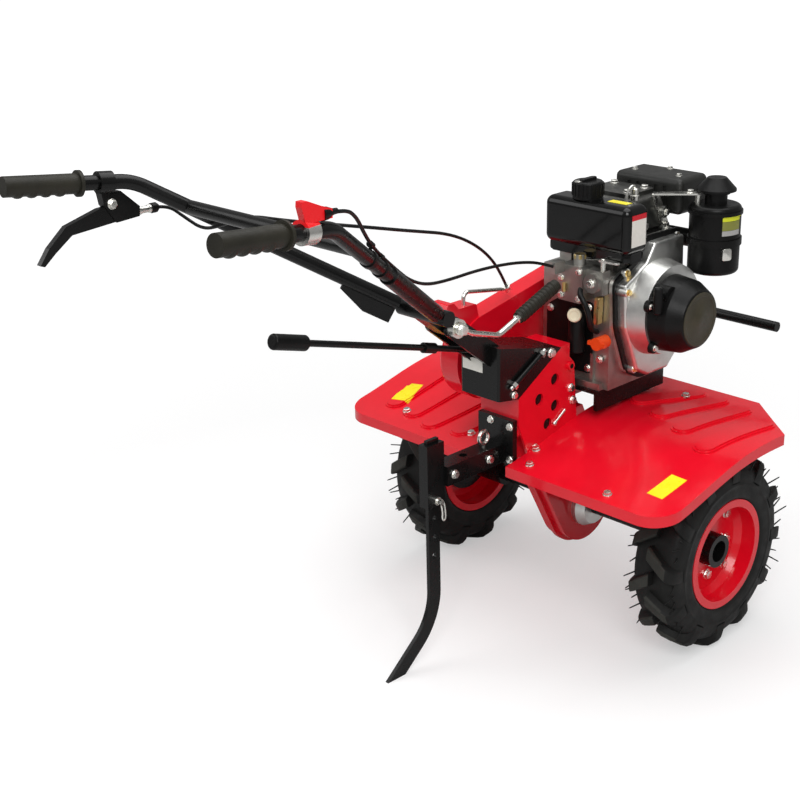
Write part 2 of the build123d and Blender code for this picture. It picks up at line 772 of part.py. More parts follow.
# Side plates of the frame, drilled, with a boss at the nose
for side, word in ((RIGHT, "right"), (LEFT, "left")):
    plate_faces = (side * BOX_HALF_WIDTH, side * PLATE_OUTER_Y)
    with BuildPart() as frame_plate:
        slab(
            (
                (PLATE_REAR_LOW_X, PLATE_REAR_LOW_Z),
                (PLATE_FRONT_X, PLATE_FRONT_LOW_Z),
                (PLATE_NOSE_X, PLATE_NOSE_Z),
                (SEAT_FRONT_X, BOX_TOP_Z),
                (BOX_REAR_X, SEAT_REAR_Z),
                (BOX_REAR_X, PLATE_HEEL_Z),
            ),
            max(plate_faces),
            min(plate_faces),
            corner=PLATE_CORNER,
        )
        for hole_x, hole_z in PLATE_HOLES:
            cross_rod(hole_x, hole_z, *plate_faces, PLATE_HOLE_RADIUS, Mode.SUBTRACT)
        cross_rod(
            *PLATE_BOSS,
            side * BOX_HALF_WIDTH,
            side * (PLATE_OUTER_Y + PLATE_BOSS_HEIGHT),
            PLATE_BOSS_RADIUS,
        )
    save(frame_plate, f"frame_plate_{word}")

# Handle bracket on the box's sloping seat, with two ears for the handle pivot
ear_inner = YOKE_LUG_HALF_WIDTH + YOKE_SIDE_GAP
ear_outer = ear_inner + EAR_THICKNESS
with BuildPart() as handle_bracket:
    slab(
        (
            (BRACKET_REAR_X, BRACKET_REAR_TOP_Z),
            (SEAT_FRONT_X, BOX_TOP_Z),
            (BOX_REAR_X, SEAT_REAR_Z),
            (BRACKET_REAR_X, BRACKET_REAR_LOW_Z),
        ),
        BRACKET_HALF_WIDTH,
        -BRACKET_HALF_WIDTH,
    )
    fillet(handle_bracket.edges().filter_by(Axis.Z), BRACKET_CORNER)
    for left_face, right_face in ((ear_outer, ear_inner), (-ear_inner, -ear_outer)):
        two_circle_slab((PIVOT_X, PIVOT_Z), EAR_RADIUS, (NECK_X, NECK_Z), NECK_RADIUS, left_face, right_face)
        cross_rod(PIVOT_X, PIVOT_Z, left_face, right_face, PIVOT_RADIUS + PIVOT_CLEARANCE, Mode.SUBTRACT)
save(handle_bracket, "handle_bracket")

# Pivot bolt through both ears, with a head and a nut
clamp_eye_y = -ear_outer - CLAMP_EYE_THICKNESS
with BuildPart() as pivot_bolt:
    cross_rod(PIVOT_X, PIVOT_Z, ear_outer, clamp_eye_y - FIT_GAP, PIVOT_RADIUS)
    cross_rod(PIVOT_X, PIVOT_Z, ear_outer + PIVOT_RADIUS, ear_outer, PIVOT_HEAD_RADIUS)
    cross_rod(PIVOT_X, PIVOT_Z, clamp_eye_y, clamp_eye_y - PIVOT_RADIUS, PIVOT_HEAD_RADIUS)
save(pivot_bolt, "pivot_bolt")

# Handle clamp lever: an eye on the pivot bolt, a bent rod and a ribbed grip
clamp_y = -ear_outer - CLAMP_EYE_THICKNESS / 2
clamp_low = at(CLAMP_LOW_X, clamp_y, CLAMP_LOW_Z)
grip_line = (at(CLAMP_END_X, clamp_y, CLAMP_END_Z) - clamp_low).normalized()
clamp_tip = clamp_low + grip_line * CLAMP_RISE
with BuildPart() as clamp_lever:
    bent_rod(
        (at(PIVOT_X, clamp_y, PIVOT_Z), at(CLAMP_KNEE_X, clamp_y, CLAMP_KNEE_Z), clamp_low, clamp_tip),
        CLAMP_BENDS,
        CLAMP_ROD_RADIUS,
    )
    cross_rod(PIVOT_X, PIVOT_Z, -ear_outer, clamp_eye_y, CLAMP_EYE_RADIUS)
    cross_rod(PIVOT_X, PIVOT_Z, -ear_outer, clamp_eye_y, PIVOT_RADIUS + FIT_GAP, Mode.SUBTRACT)
save(clamp_lever, "clamp_lever")

with BuildPart() as clamp_grip:
    rod(clamp_tip, clamp_tip + grip_line * CLAMP_GRIP_LENGTH, CLAMP_GRIP_RADIUS)
save(clamp_grip, "clamp_grip")

# Shift lever: rod with a collar out of the bracket's rear face, and its knob
shift_line = Vector(-math.cos(SHIFT_SLOPE), 0, math.sin(SHIFT_SLOPE))
shift_start = at(BRACKET_REAR_X, 0, SHIFT_ENTRY_Z)
shift_end = shift_start + shift_line * SHIFT_LENGTH
collar_start = shift_start + shift_line * SHIFT_COLLAR_FROM
with BuildPart() as shift_lever:
    rod(shift_start - shift_line * SHIFT_ROD_RADIUS, shift_end, SHIFT_ROD_RADIUS)
    rod(collar_start, collar_start + shift_line * SHIFT_COLLAR_LENGTH, SHIFT_COLLAR_RADIUS)
    split(bisect_by=Plane(origin=shift_start, x_dir=(0, 1, 0), z_dir=(-1, 0, 0)), keep=Keep.TOP)
save(shift_lever, "shift_lever")

with BuildPart() as shift_knob:
    rod(shift_end, shift_end + shift_line * KNOB_LENGTH, KNOB_RADIUS)
    fillet(shift_knob.edges(), KNOB_ROUND)
save(shift_knob, "shift_knob")

# Handlebar yoke on the pivot
with BuildPart() as yoke:
    cross_rod(TUBE_BASE_X, TUBE_BASE_Z, YOKE_BAR_HALF_WIDTH, -YOKE_BAR_HALF_WIDTH, YOKE_BAR_RADIUS)
    two_circle_slab(
        (PIVOT_X, PIVOT_Z),
        YOKE_LUG_RADIUS,
        (TUBE_BASE_X, TUBE_BASE_Z),
        YOKE_BAR_RADIUS,
        YOKE_LUG_HALF_WIDTH,
        -YOKE_LUG_HALF_WIDTH,
    )
    cross_rod(
        PIVOT_X,
        PIVOT_Z,
        YOKE_LUG_HALF_WIDTH,
        -YOKE_LUG_HALF_WIDTH,
        PIVOT_RADIUS + PIVOT_CLEARANCE,
        Mode.SUBTRACT,
    )
save(yoke, "handlebar_yoke")


def tube_bend(side):
    """Where a handlebar tube's two straight runs would meet."""
    return at(TUBE_BEND_X, side * TUBE_BEND_Y, TUBE_BEND_Z)


def tube_base(side):
    """Where a handlebar tube's line meets the yoke bar."""
    return at(TUBE_BASE_X, side * TUBE_BASE_Y, TUBE_BASE_Z)


def rear_run(side):
    """The direction of a tube's rear run."""
    return (at(-REAR_REACH, side * GRIP_END_Y, GRIP_END_Z) - tube_bend(side)).normalized()


def grip_tip(side):
    """The middle of a grip's end face, set so that the grip just reaches the rear."""
    run = rear_run(side)
    reach = at(-REAR_REACH, side * GRIP_END_Y, GRIP_END_Z)
    return reach - run * (GRIP_RADIUS * math.sqrt(1 - run.X**2) / abs(run.X))


def bent_tube(side):
    """The handlebar tube from beside the yoke bar to inside the grip."""
    climb = (tube_bend(side) - tube_base(side)).normalized()
    start = tube_base(side) + climb * (YOKE_BAR_RADIUS + TUBE_RADIUS)
    end = grip_tip(side) - rear_run(side) * GRIP_END_WALL
    with BuildLine() as path:
        FilletPolyline(start, tube_bend(side), end, radius=TUBE_BEND_RADIUS)
    with BuildSketch(Plane(origin=start, z_dir=climb)) as section:
        Circle(TUBE_RADIUS)
        Circle(TUBE_RADIUS - TUBE_WALL, mode=Mode.SUBTRACT)
    sweep(section.sketch, path=path.line)
    return start, climb


# Right tube, with a thicker sleeve on its lower part
with BuildPart() as handlebar_right:
    foot, climb = bent_tube(RIGHT)
    sleeve_end = tube_base(RIGHT) + (tube_bend(RIGHT) - tube_base(RIGHT)) * SLEEVE_SHARE
    with BuildSketch(Plane(origin=foot, z_dir=climb)) as sleeve:
        Circle(TUBE_RADIUS + SLEEVE_WALL)
        Circle(TUBE_RADIUS - TUBE_WALL / 2, mode=Mode.SUBTRACT)
    extrude(sleeve.sketch, amount=(sleeve_end - foot).length)
save(handlebar_right, "handlebar_right")

# Left tube, with a gusset plate hanging from its foot
with BuildPart() as handlebar_left:
    foot, climb = bent_tube(LEFT)
    across = climb.cross(Vector(0, 0, 1)).normalized()
    with BuildSketch(Plane(origin=foot, x_dir=climb, z_dir=across)) as gusset:
        with BuildLine():
            Polyline(
                (0, -TUBE_RADIUS + TUBE_WALL / 2),
                (GUSSET_LENGTH, -TUBE_RADIUS + TUBE_WALL / 2),
                (GUSSET_LENGTH, -GUSSET_TIP),
                (GUSSET_LENGTH / 2, -GUSSET_DEPTH),
                (0, -GUSSET_DEPTH),
                close=True,
            )
        make_face()
    extrude(gusset.sketch, amount=GUSSET_THICKNESS / 2, both=True)
save(handlebar_left, "handlebar_left")

# Grips, closed at the end and flanged at the front
for side, word in ((RIGHT, "right"), (LEFT, "left")):
    run = rear_run(side)
    tip = grip_tip(side)
    front = tip - run * GRIP_LENGTH
    with BuildPart() as grip:
        rod(front, tip, GRIP_RADIUS)
        rod(front, front + run * GRIP_FLANGE_LENGTH, GRIP_FLANGE_RADIUS)
        rod(front, tip - run * GRIP_END_WALL, TUBE_RADIUS + FIT_GAP, Mode.SUBTRACT)
    save(grip, f"grip_{word}")

# Crossbar between the two tubes, coped round them
with BuildPart() as coped_bar:
    ends = [tube_bend(side) + (tube_base(side) - tube_bend(side)) * CROSSBAR_SHARE for side in (LEFT, RIGHT)]
    rod(*ends, TUBE_RADIUS)
    for side in (RIGHT, LEFT):
        rod(tube_bend(side), tube_base(side), TUBE_RADIUS + FIT_GAP, Mode.SUBTRACT)
    middle_piece = coped_bar.solids().sort_by(SortBy.VOLUME)[-1]
with BuildPart() as handlebar_crossbar:
    add(middle_piece)
save(handlebar_crossbar, "handlebar_crossbar")


def tube_ring(side):
    """A clamp ring round the straight rear run of a handlebar tube."""
    run = rear_run(side)
    ring_start = tube_bend(side) + run * RING_START
    rod(ring_start, ring_start + run * RING_LENGTH, TUBE_RADIUS + RING_WALL)
    rod(ring_start, ring_start + run * RING_LENGTH, TUBE_RADIUS + FIT_GAP, Mode.SUBTRACT)


def from_bend(outline):
    """A side-view outline moved to the tubes' bend."""
    return [(TUBE_BEND_X + x, TUBE_BEND_Z + z) for x, z in outline]


# Clutch lever on the left tube: clamp ring, perch, curved blade and cable barrel
with BuildPart() as clutch_lever:
    slab(from_bend(PERCH_OUTLINE), CONTROL_Y + PERCH_HALF_WIDTH, CONTROL_Y - PERCH_HALF_WIDTH)
    slab(from_bend(BLADE_OUTLINE), CONTROL_Y + BLADE_HALF_WIDTH, CONTROL_Y - BLADE_HALF_WIDTH)
    tube_ring(LEFT)
    rod(
        at(TUBE_BEND_X + BARREL_START, CONTROL_Y, TUBE_BEND_Z - BARREL_DROP),
        at(TUBE_BEND_X + BARREL_END, CONTROL_Y, TUBE_BEND_Z - BARREL_DROP),
        BARREL_RADIUS,
    )
save(clutch_lever, "clutch_lever")

# Throttle control on the right tube: clamp ring and thumb lever
with BuildPart() as throttle_control:
    tube_ring(RIGHT)
    slab(from_bend(THUMB_OUTLINE), -CONTROL_Y + THUMB_HALF_WIDTH, -CONTROL_Y - THUMB_HALF_WIDTH)
save(throttle_control, "throttle_control")

# Hitch: plate on the box's rear face, drawbar, and a socket that the drag stake slides in
plate_rear_x = BOX_REAR_X - HITCH_PLATE_THICKNESS
socket_half_depth = STAKE_DEPTH / 2 + SOCKET_CLEARANCE + SOCKET_WALL
socket_half_width = STAKE_THICKNESS / 2 + SOCKET_CLEARANCE + SOCKET_WALL
with BuildPart() as hitch:
    block(
        (plate_rear_x, -HITCH_PLATE_HALF_WIDTH, HITCH_PLATE_LOW_Z),
        (BOX_REAR_X, HITCH_PLATE_HALF_WIDTH, HITCH_PLATE_HIGH_Z),
    )
    block(
        (STAKE_X + socket_half_depth, -DRAWBAR_HALF_WIDTH, DRAWBAR_LOW_Z),
        (plate_rear_x, DRAWBAR_HALF_WIDTH, DRAWBAR_HIGH_Z),
    )
    block(
        (STAKE_X - socket_half_depth, -socket_half_width, SOCKET_LOW_Z),
        (STAKE_X + socket_half_depth, socket_half_width, SOCKET_HIGH_Z),
    )
    block(
        (STAKE_X - socket_half_depth + SOCKET_WALL, -socket_half_width + SOCKET_WALL, SOCKET_LOW_Z),
        (STAKE_X + socket_half_depth - SOCKET_WALL, socket_half_width - SOCKET_WALL, SOCKET_HIGH_Z),
        Mode.SUBTRACT,
    )
    cross_rod(
        STAKE_X,
        STAKE_PIN_Z,
        socket_half_width,
        -socket_half_width,
        STAKE_PIN_RADIUS + STAKE_PIN_CLEARANCE,
        Mode.SUBTRACT,
    )
    post(HITCH_PIN_X, 0, DRAWBAR_LOW_Z, DRAWBAR_HIGH_Z, HITCH_PIN_RADIUS + HITCH_PIN_CLEARANCE, Mode.SUBTRACT)
save(hitch, "hitch")

# Eye standing on the drawbar
eye_z = DRAWBAR_HIGH_Z + EYE_STEM + EYE_RADIUS
with BuildPart() as eye_bolt:
    eye_side = at(EYE_X + EYE_RADIUS, 0, eye_z)
    with BuildSketch(Plane(origin=eye_side, x_dir=(1, 0, 0), z_dir=(0, 0, 1))) as wire:
        Circle(EYE_WIRE)
    revolve(wire.sketch, axis=Axis(at(EYE_X, 0, eye_z), (0, 1, 0)))
    post(EYE_X, 0, DRAWBAR_HIGH_Z, eye_z - EYE_RADIUS, EYE_WIRE)
save(eye_bolt, "eye_bolt")

# Stake pin, shown drawn back from the stake: a head on the right, a tail on the left
pin_gap = STAKE_THICKNESS / 2 + SOCKET_CLEARANCE + STAKE_PIN_GAP
pin_head_end = socket_half_width + STAKE_PIN_HEAD_LENGTH
with BuildPart() as stake_pin:
    for side in (RIGHT, LEFT):
        pin_end = socket_half_width + STAKE_PIN_REACH
        cross_rod(STAKE_X, STAKE_PIN_Z, side * pin_gap, side * pin_end, STAKE_PIN_RADIUS)
        cross_rod(STAKE_X, STAKE_PIN_Z, side * socket_half_width, side * pin_head_end, STAKE_PIN_HEAD_RADIUS)
save(stake_pin, "stake_pin")

# Drag stake: a flat bar curved to the rear at its foot, drilled for the pin
with BuildPart() as drag_stake:
    stake_top = at(STAKE_X, 0, STAKE_TOP_Z)
    stake_bend = at(STAKE_X, 0, STAKE_BEND_Z)
    stake_foot = at(STAKE_FOOT_X, 0, 0)
    past_floor = (stake_foot - stake_bend).normalized() * STAKE_DEPTH
    with BuildLine() as stake_path:
        FilletPolyline(stake_top, stake_bend, stake_foot + past_floor, radius=STAKE_BEND_RADIUS)
    with BuildSketch(Plane(origin=stake_top, x_dir=(1, 0, 0), z_dir=(0, 0, -1))) as bar:
        Rectangle(STAKE_DEPTH, STAKE_THICKNESS)
    sweep(bar.sketch, path=stake_path.line)
    split(bisect_by=Plane.XY, keep=Keep.TOP)
    for k in range(STAKE_HOLE_COUNT):
        hole_z = STAKE_PIN_Z - k * STAKE_HOLE_PITCH
        cross_rod(STAKE_X, hole_z, STAKE_THICKNESS, -STAKE_THICKNESS, STAKE_HOLE_RADIUS, Mode.SUBTRACT)
save(drag_stake, "drag_stake")


def fender_solid(inset, drop, low):
    """The right fender's plan outline, pulled in, between its curved top line dropped and its low line."""
    rear = FENDER_REAR_X + inset
    front = FENDER_FRONT_X - inset
    inner = PLATE_OUTER_Y + inset
    outer = FENDER_OUTER_Y - inset
    crest_points = (
        (rear, FENDER_REAR_Z),
        (FENDER_SHOULDER_X, FENDER_REAR_Z + FENDER_SHOULDER_RISE),
        (FENDER_BROW_X, FENDER_TOP_Z - FENDER_BROW_DROP),
        (front, FENDER_TOP_Z),
    )
    with BuildSketch(side_plane(-inner)) as profile:
        with BuildLine():
            crest = Spline(
                *[(x, z - drop) for x, z in crest_points],
                tangents=((1, FENDER_REAR_SLOPE), (1, 0)),
            )
            under = Spline(
                *[(x, z - low) for x, z in reversed(crest_points)],
                tangents=((-1, 0), (-1, -FENDER_REAR_SLOPE)),
            )
            Line(crest @ 1, under @ 0)
            Line(under @ 1, crest @ 0)
        make_face()
    extrude(profile.sketch, amount=outer - inner)
    with BuildSketch(Plane(origin=at(0, 0, 0))) as plan:
        with BuildLine():
            Polyline(
                (rear, -inner),
                (front, -inner),
                (front, -outer + FENDER_CHAMFER_Y),
                (front - FENDER_CHAMFER_X, -outer),
                (rear, -outer),
                close=True,
            )
        make_face()
        rear_corner = plan.vertices().sort_by(Axis.X)[:2].sort_by(Axis.Y)[0]
        fillet(rear_corner, FENDER_REAR_CORNER - inset)
    extrude(plan.sketch, amount=2 * FENDER_TOP_Z, mode=Mode.INTERSECT)


def rib_prisms(ribs, radius):
    """Upright prisms over the fender's fingers, each round at both ends."""
    for first, second in ribs:
        with BuildSketch(Plane(origin=at(0, 0, 0))) as finger:
            with Locations(first):
                Circle(radius)
            with Locations(second):
                Circle(radius)
            make_hull()
        extrude(finger.sketch, amount=2 * FENDER_TOP_Z)


# Fenders: pressed sheet with raised fingers and a skirt all round, bolted to the side plates
with BuildPart() as fender_hollow:
    fender_solid(FENDER_THICKNESS, FENDER_THICKNESS, 3 * FENDER_SKIRT)
with BuildPart() as fender_sheet:
    fender_solid(0, 0, FENDER_SKIRT)
    add(fender_hollow.part, mode=Mode.SUBTRACT)
with BuildPart() as raised_sheet:
    fender_solid(FENDER_THICKNESS, -RIB_HEIGHT, FENDER_THICKNESS / 2)
with BuildPart() as low_sheet:
    fender_solid(FENDER_THICKNESS, -RIB_HEIGHT / 2, FENDER_THICKNESS / 2)
with BuildPart() as raised_left:
    mirror(raised_sheet.part, about=Plane.XZ)
with BuildPart() as low_left:
    mirror(low_sheet.part, about=Plane.XZ)
with BuildPart() as right_fingers:
    rib_prisms(RIGHT_RIBS, RIB_RADIUS - RIB_BEVEL)
    add(raised_sheet.part, mode=Mode.INTERSECT)
with BuildPart() as right_finger_feet:
    rib_prisms(RIGHT_RIBS, RIB_RADIUS)
    add(low_sheet.part, mode=Mode.INTERSECT)
with BuildPart() as left_fingers:
    rib_prisms(LEFT_RIBS, RIB_RADIUS - RIB_BEVEL)
    add(raised_left.part, mode=Mode.INTERSECT)
with BuildPart() as left_finger_feet:
    rib_prisms(LEFT_RIBS, RIB_RADIUS)
    add(low_left.part, mode=Mode.INTERSECT)
with BuildPart() as fender_right:
    add(fender_sheet.part)
    add(right_finger_feet.part)
    add(right_fingers.part)
save(fender_right, "fender_right")
with BuildPart() as fender_left:
    mirror(fender_sheet.part, about=Plane.XZ)
    add(left_finger_feet.part)
    add(left_fingers.part)
save(fender_left, "fender_left")

# Belt cover: a closed case round both pulleys on posts from the side plate, with the tension housing
with BuildPart() as belt_cover:
    two_circle_slab(
        (COVER_REAR_X, COVER_REAR_Z),
        COVER_REAR_RADIUS,
        (CRANK_X, CRANK_Z),
        COVER_FRONT_RADIUS,
        COVER_OUTER_Y,
        COVER_INNER_Y,
    )
    fillet(belt_cover.faces().sort_by(Axis.Y)[-1].edges(), COVER_EDGE)
    slab(
        [(COVER_REAR_X + x, COVER_REAR_Z + z) for x, z in TENSION_OUTLINE],
        TENSION_LEFT_Y,
        TENSION_RIGHT_Y,
        corner=TENSION_CORNER,
    )
    for post_x, post_z in COVER_POSTS:
        cross_rod(
            COVER_REAR_X + post_x,
            COVER_REAR_Z + post_z,
            COVER_INNER_Y + COVER_POST_RADIUS,
            PLATE_OUTER_Y,
            COVER_POST_RADIUS,
        )
save(belt_cover, "belt_cover")

# Engine mount: plate under the engine, back plate on the gear case, two side rails
mount_rear_x = PLATE_FRONT_X + MOUNT_PLATE_GAP
with BuildPart() as engine_mount:
    block((mount_rear_x, MOUNT_RIGHT_Y, MOUNT_LOW_Z), (MOUNT_FRONT_X, MOUNT_LEFT_Y, ENGINE_BASE_Z))
    block((BOX_FRONT_X, -BOX_HALF_WIDTH, MOUNT_LOW_Z), (mount_rear_x, BOX_HALF_WIDTH, ENGINE_BASE_Z))
    block(
        (BOX_FRONT_X, -BOX_HALF_WIDTH, BOX_BOTTOM_Z),
        (BOX_FRONT_X + MOUNT_PLATE, BOX_HALF_WIDTH, ENGINE_BASE_Z),
    )
    for rail_y in (MOUNT_RIGHT_Y, MOUNT_LEFT_Y - MOUNT_PLATE):
        block((mount_rear_x, rail_y, MOUNT_RAIL_LOW_Z), (MOUNT_FRONT_X, rail_y + MOUNT_PLATE, ENGINE_BASE_Z))
save(engine_mount, "engine_mount")

# Engine block with a foot flange, rear ribs, tank posts and the drive shaft stub
with BuildPart() as engine_block:
    block((BLOCK_REAR_X, BLOCK_RIGHT_Y, ENGINE_BASE_Z), (BLOCK_FRONT_X, BLOCK_LEFT_Y, BLOCK_TOP_Z))
    block(
        (BLOCK_REAR_X - BLOCK_FOOT_REACH, MOUNT_RIGHT_Y, ENGINE_BASE_Z),
        (BLOCK_REAR_X, BLOCK_LEFT_Y, ENGINE_BASE_Z + BLOCK_FOOT_HEIGHT),
    )
    for rib_y in BLOCK_RIBS:
        block(
            (BLOCK_REAR_X - BLOCK_RIB_DEPTH, rib_y - BLOCK_RIB_WIDTH / 2, ENGINE_BASE_Z),
            (BLOCK_REAR_X, rib_y + BLOCK_RIB_WIDTH / 2, FILTER_LOW_Z),
        )
    cross_rod(CRANK_X, CRANK_Z, COVER_INNER_Y, BLOCK_LEFT_Y, PTO_RADIUS)
    tank_middle_x = (TANK_REAR_X + TANK_FRONT_X) / 2
    for post_y in (TANK_LEFT_Y - TANK_POST, BLOCK_RIGHT_Y + TANK_POST):
        block(
            (tank_middle_x, post_y - TANK_POST / 2, BLOCK_TOP_Z),
            (tank_middle_x + TANK_POST / 2, post_y + TANK_POST / 2, TANK_LOW_Z),
        )
save(engine_block, "engine_block")

# Cylinder with cooling fins, and the head
with BuildPart() as cylinder_head:
    block((HEAD_REAR_X, HEAD_RIGHT_Y, BLOCK_TOP_Z), (HEAD_FRONT_X, HEAD_LEFT_Y, HEAD_TOP_Z))
    fillet(cylinder_head.faces().sort_by(Axis.Z)[-1].edges(), HEAD_ROUND)
    for k in range(int((HEAD_FIN_TOP_Z - BLOCK_TOP_Z) / FIN_PITCH)):
        gap_z = BLOCK_TOP_Z + FIN_FIRST + k * FIN_PITCH
        for low_y, high_y in (
            (HEAD_RIGHT_Y, HEAD_RIGHT_Y + FIN_DEPTH),
            (HEAD_LEFT_Y - FIN_DEPTH, HEAD_LEFT_Y),
        ):
            block((HEAD_REAR_X, low_y, gap_z), (HEAD_FRONT_X, high_y, gap_z + FIN_GAP), Mode.SUBTRACT)
        block(
            (HEAD_REAR_X, HEAD_RIGHT_Y, gap_z),
            (HEAD_REAR_X + FIN_DEPTH, HEAD_LEFT_Y, gap_z + FIN_GAP),
            Mode.SUBTRACT,
        )
save(cylinder_head, "cylinder_head")

# Fan shroud: flange on the block, scroll plate with a duct to the cylinder, cone to the starter
with BuildPart() as fan_shroud:
    slab(SHROUD_OUTLINE, SHROUD_SCROLL_Y, SHROUD_CONE_Y, corner=SHROUD_CORNER, inset=SHROUD_STEP)
    fillet(fan_shroud.faces().sort_by(Axis.Y)[0].edges(), SHROUD_EDGE)
    slab(SHROUD_OUTLINE, BLOCK_RIGHT_Y, SHROUD_SCROLL_Y, corner=SHROUD_CORNER)
    with BuildSketch(side_plane(SHROUD_CONE_Y)) as housing:
        with Locations((SHROUD_CONE_X, SHROUD_CONE_Z)):
            Circle(SHROUD_CONE_RADIUS)
    extrude(housing.sketch, amount=SHROUD_CONE, taper=SHROUD_TAPER)
save(fan_shroud, "fan_shroud")

# Recoil starter drum with its rope guide
recoil_waist_y = SHROUD_FACE_Y - RECOIL_WAIST_DEPTH
recoil_face_y = SHROUD_FACE_Y - RECOIL_DEPTH
with BuildPart() as recoil_starter:
    cone_across(CRANK_X, CRANK_Z, recoil_waist_y, RECOIL_WAIST_RADIUS, recoil_face_y, RECOIL_FACE_RADIUS)
    fillet(recoil_starter.faces().sort_by(Axis.Y)[0].edges(), RECOIL_EDGE)
    cone_across(CRANK_X, CRANK_Z, SHROUD_FACE_Y, RECOIL_BASE_RADIUS, recoil_waist_y, RECOIL_WAIST_RADIUS)
    cross_rod(
        CRANK_X + ROPE_GUIDE_X,
        CRANK_Z + ROPE_GUIDE_Z,
        SHROUD_FACE_Y,
        SHROUD_FACE_Y - ROPE_GUIDE_DEPTH,
        ROPE_GUIDE_RADIUS,
    )
save(recoil_starter, "recoil_starter")

# Fuel tank and its cap
with BuildPart() as fuel_tank:
    block((TANK_REAR_X, TANK_RIGHT_Y, TANK_LOW_Z), (TANK_FRONT_X, TANK_LEFT_Y, TANK_HIGH_Z))
    fillet(fuel_tank.edges(), TANK_ROUND)
save(fuel_tank, "fuel_tank")

with BuildPart() as fuel_cap:
    post(tank_middle_x, CAP_Y, TANK_HIGH_Z, TANK_HIGH_Z + CAP_HEIGHT, CAP_RADIUS)
    fillet(fuel_cap.faces().sort_by(Axis.Z)[-1].edges(), CAP_ROUND)
save(fuel_cap, "fuel_cap")

# Air cleaner canister with its clamp bands, neck, rain cap and intake pipe
with BuildPart() as air_cleaner:
    post(CLEANER_X, CLEANER_Y, CLEANER_LOW_Z, CLEANER_HIGH_Z, CLEANER_RADIUS)
    fillet(air_cleaner.edges().filter_by(GeomType.CIRCLE), CLEANER_ROUND)
    for band_low, band_high in CLEANER_BANDS:
        post(CLEANER_X, CLEANER_Y, band_low, band_high, CLEANER_BAND_RADIUS)
    neck_top = CLEANER_HIGH_Z + CLEANER_NECK_HEIGHT
    post(CLEANER_X, CLEANER_Y, CLEANER_HIGH_Z, neck_top, CLEANER_NECK_RADIUS)
    post(CLEANER_X, CLEANER_Y, neck_top - NECK_RING_HEIGHT, neck_top, NECK_RING_RADIUS)
    post(CLEANER_X, CLEANER_Y, neck_top, neck_top + RAIN_CAP_BRIM, RAIN_CAP_RADIUS)
    brim = Plane(origin=at(CLEANER_X, CLEANER_Y, neck_top + RAIN_CAP_BRIM))
    with BuildSketch(brim) as cap_foot:
        Circle(RAIN_CAP_RADIUS)
    with BuildSketch(brim.offset(RAIN_CAP_HEIGHT - RAIN_CAP_BRIM)) as cap_top:
        Circle(RAIN_CAP_TOP_RADIUS)
    loft(sections=(cap_foot.sketch, cap_top.sketch))
    bent_rod(
        (
            at(INTAKE_X, CLEANER_Y, INTAKE_Z),
            at(INTAKE_X, INTAKE_Y, INTAKE_Z),
            at(HEAD_FRONT_X, INTAKE_Y, INTAKE_Z),
        ),
        INTAKE_BEND,
        INTAKE_RADIUS,
    )
save(air_cleaner, "air_cleaner")

# Muffler with louvres in its rear face and its port flange on the head
louvre_middle_y = (MUFFLER_LEFT_Y + MUFFLER_RIGHT_Y) / 2
louvre_low_z = (MUFFLER_LOW_Z + MUFFLER_HIGH_Z - LOUVRE_HEIGHT) / 2
with BuildPart() as muffler:
    block((MUFFLER_REAR_X, MUFFLER_RIGHT_Y, MUFFLER_LOW_Z), (MUFFLER_FRONT_X, MUFFLER_LEFT_Y, MUFFLER_HIGH_Z))
    fillet(muffler.edges(), MUFFLER_ROUND)
    for k in range(LOUVRE_COUNT):
        louvre_y = louvre_middle_y + (k - (LOUVRE_COUNT - 1) / 2) * LOUVRE_PITCH
        block(
            (MUFFLER_REAR_X, louvre_y - LOUVRE_WIDTH / 2, louvre_low_z),
            (MUFFLER_REAR_X + LOUVRE_DEPTH, louvre_y + LOUVRE_WIDTH / 2, louvre_low_z + LOUVRE_HEIGHT),
            Mode.SUBTRACT,
        )
    block(
        (HEAD_FRONT_X, PORT_Y - PORT_HALF_WIDTH, MUFFLER_LOW_Z + MUFFLER_ROUND),
        (
            MUFFLER_REAR_X + LOUVRE_DEPTH + PORT_LAP,
            PORT_Y + PORT_HALF_WIDTH,
            HEAD_TOP_Z - MUFFLER_ROUND,
        ),
    )
save(muffler, "muffler")


def bend_route(side, from_bend_points, end, from_end_points):
    """A cable's route, first given from a tube's bend and then from its end."""
    start = tube_bend(side)
    return [start + Vector(*point) for point in from_bend_points] + [
        end + Vector(*point) for point in from_end_points
    ]


stay_end = at(STAY_FRONT_X, STAY_Y, STAY_FRONT_Z)
clutch_route = bend_route(LEFT, CLUTCH_FROM_BEND, stay_end, CLUTCH_FROM_STAY)
clutch_line = (clutch_route[-1] - clutch_route[-2]).normalized()
pump_end = at(PUMP_REAR_X - THROTTLE_END_DEPTH, THROTTLE_END_Y, THROTTLE_END_Z)
throttle_route = bend_route(RIGHT, THROTTLE_FROM_BEND, pump_end, THROTTLE_FROM_PUMP)
throttle_line = (throttle_route[-1] - throttle_route[-2]).normalized()

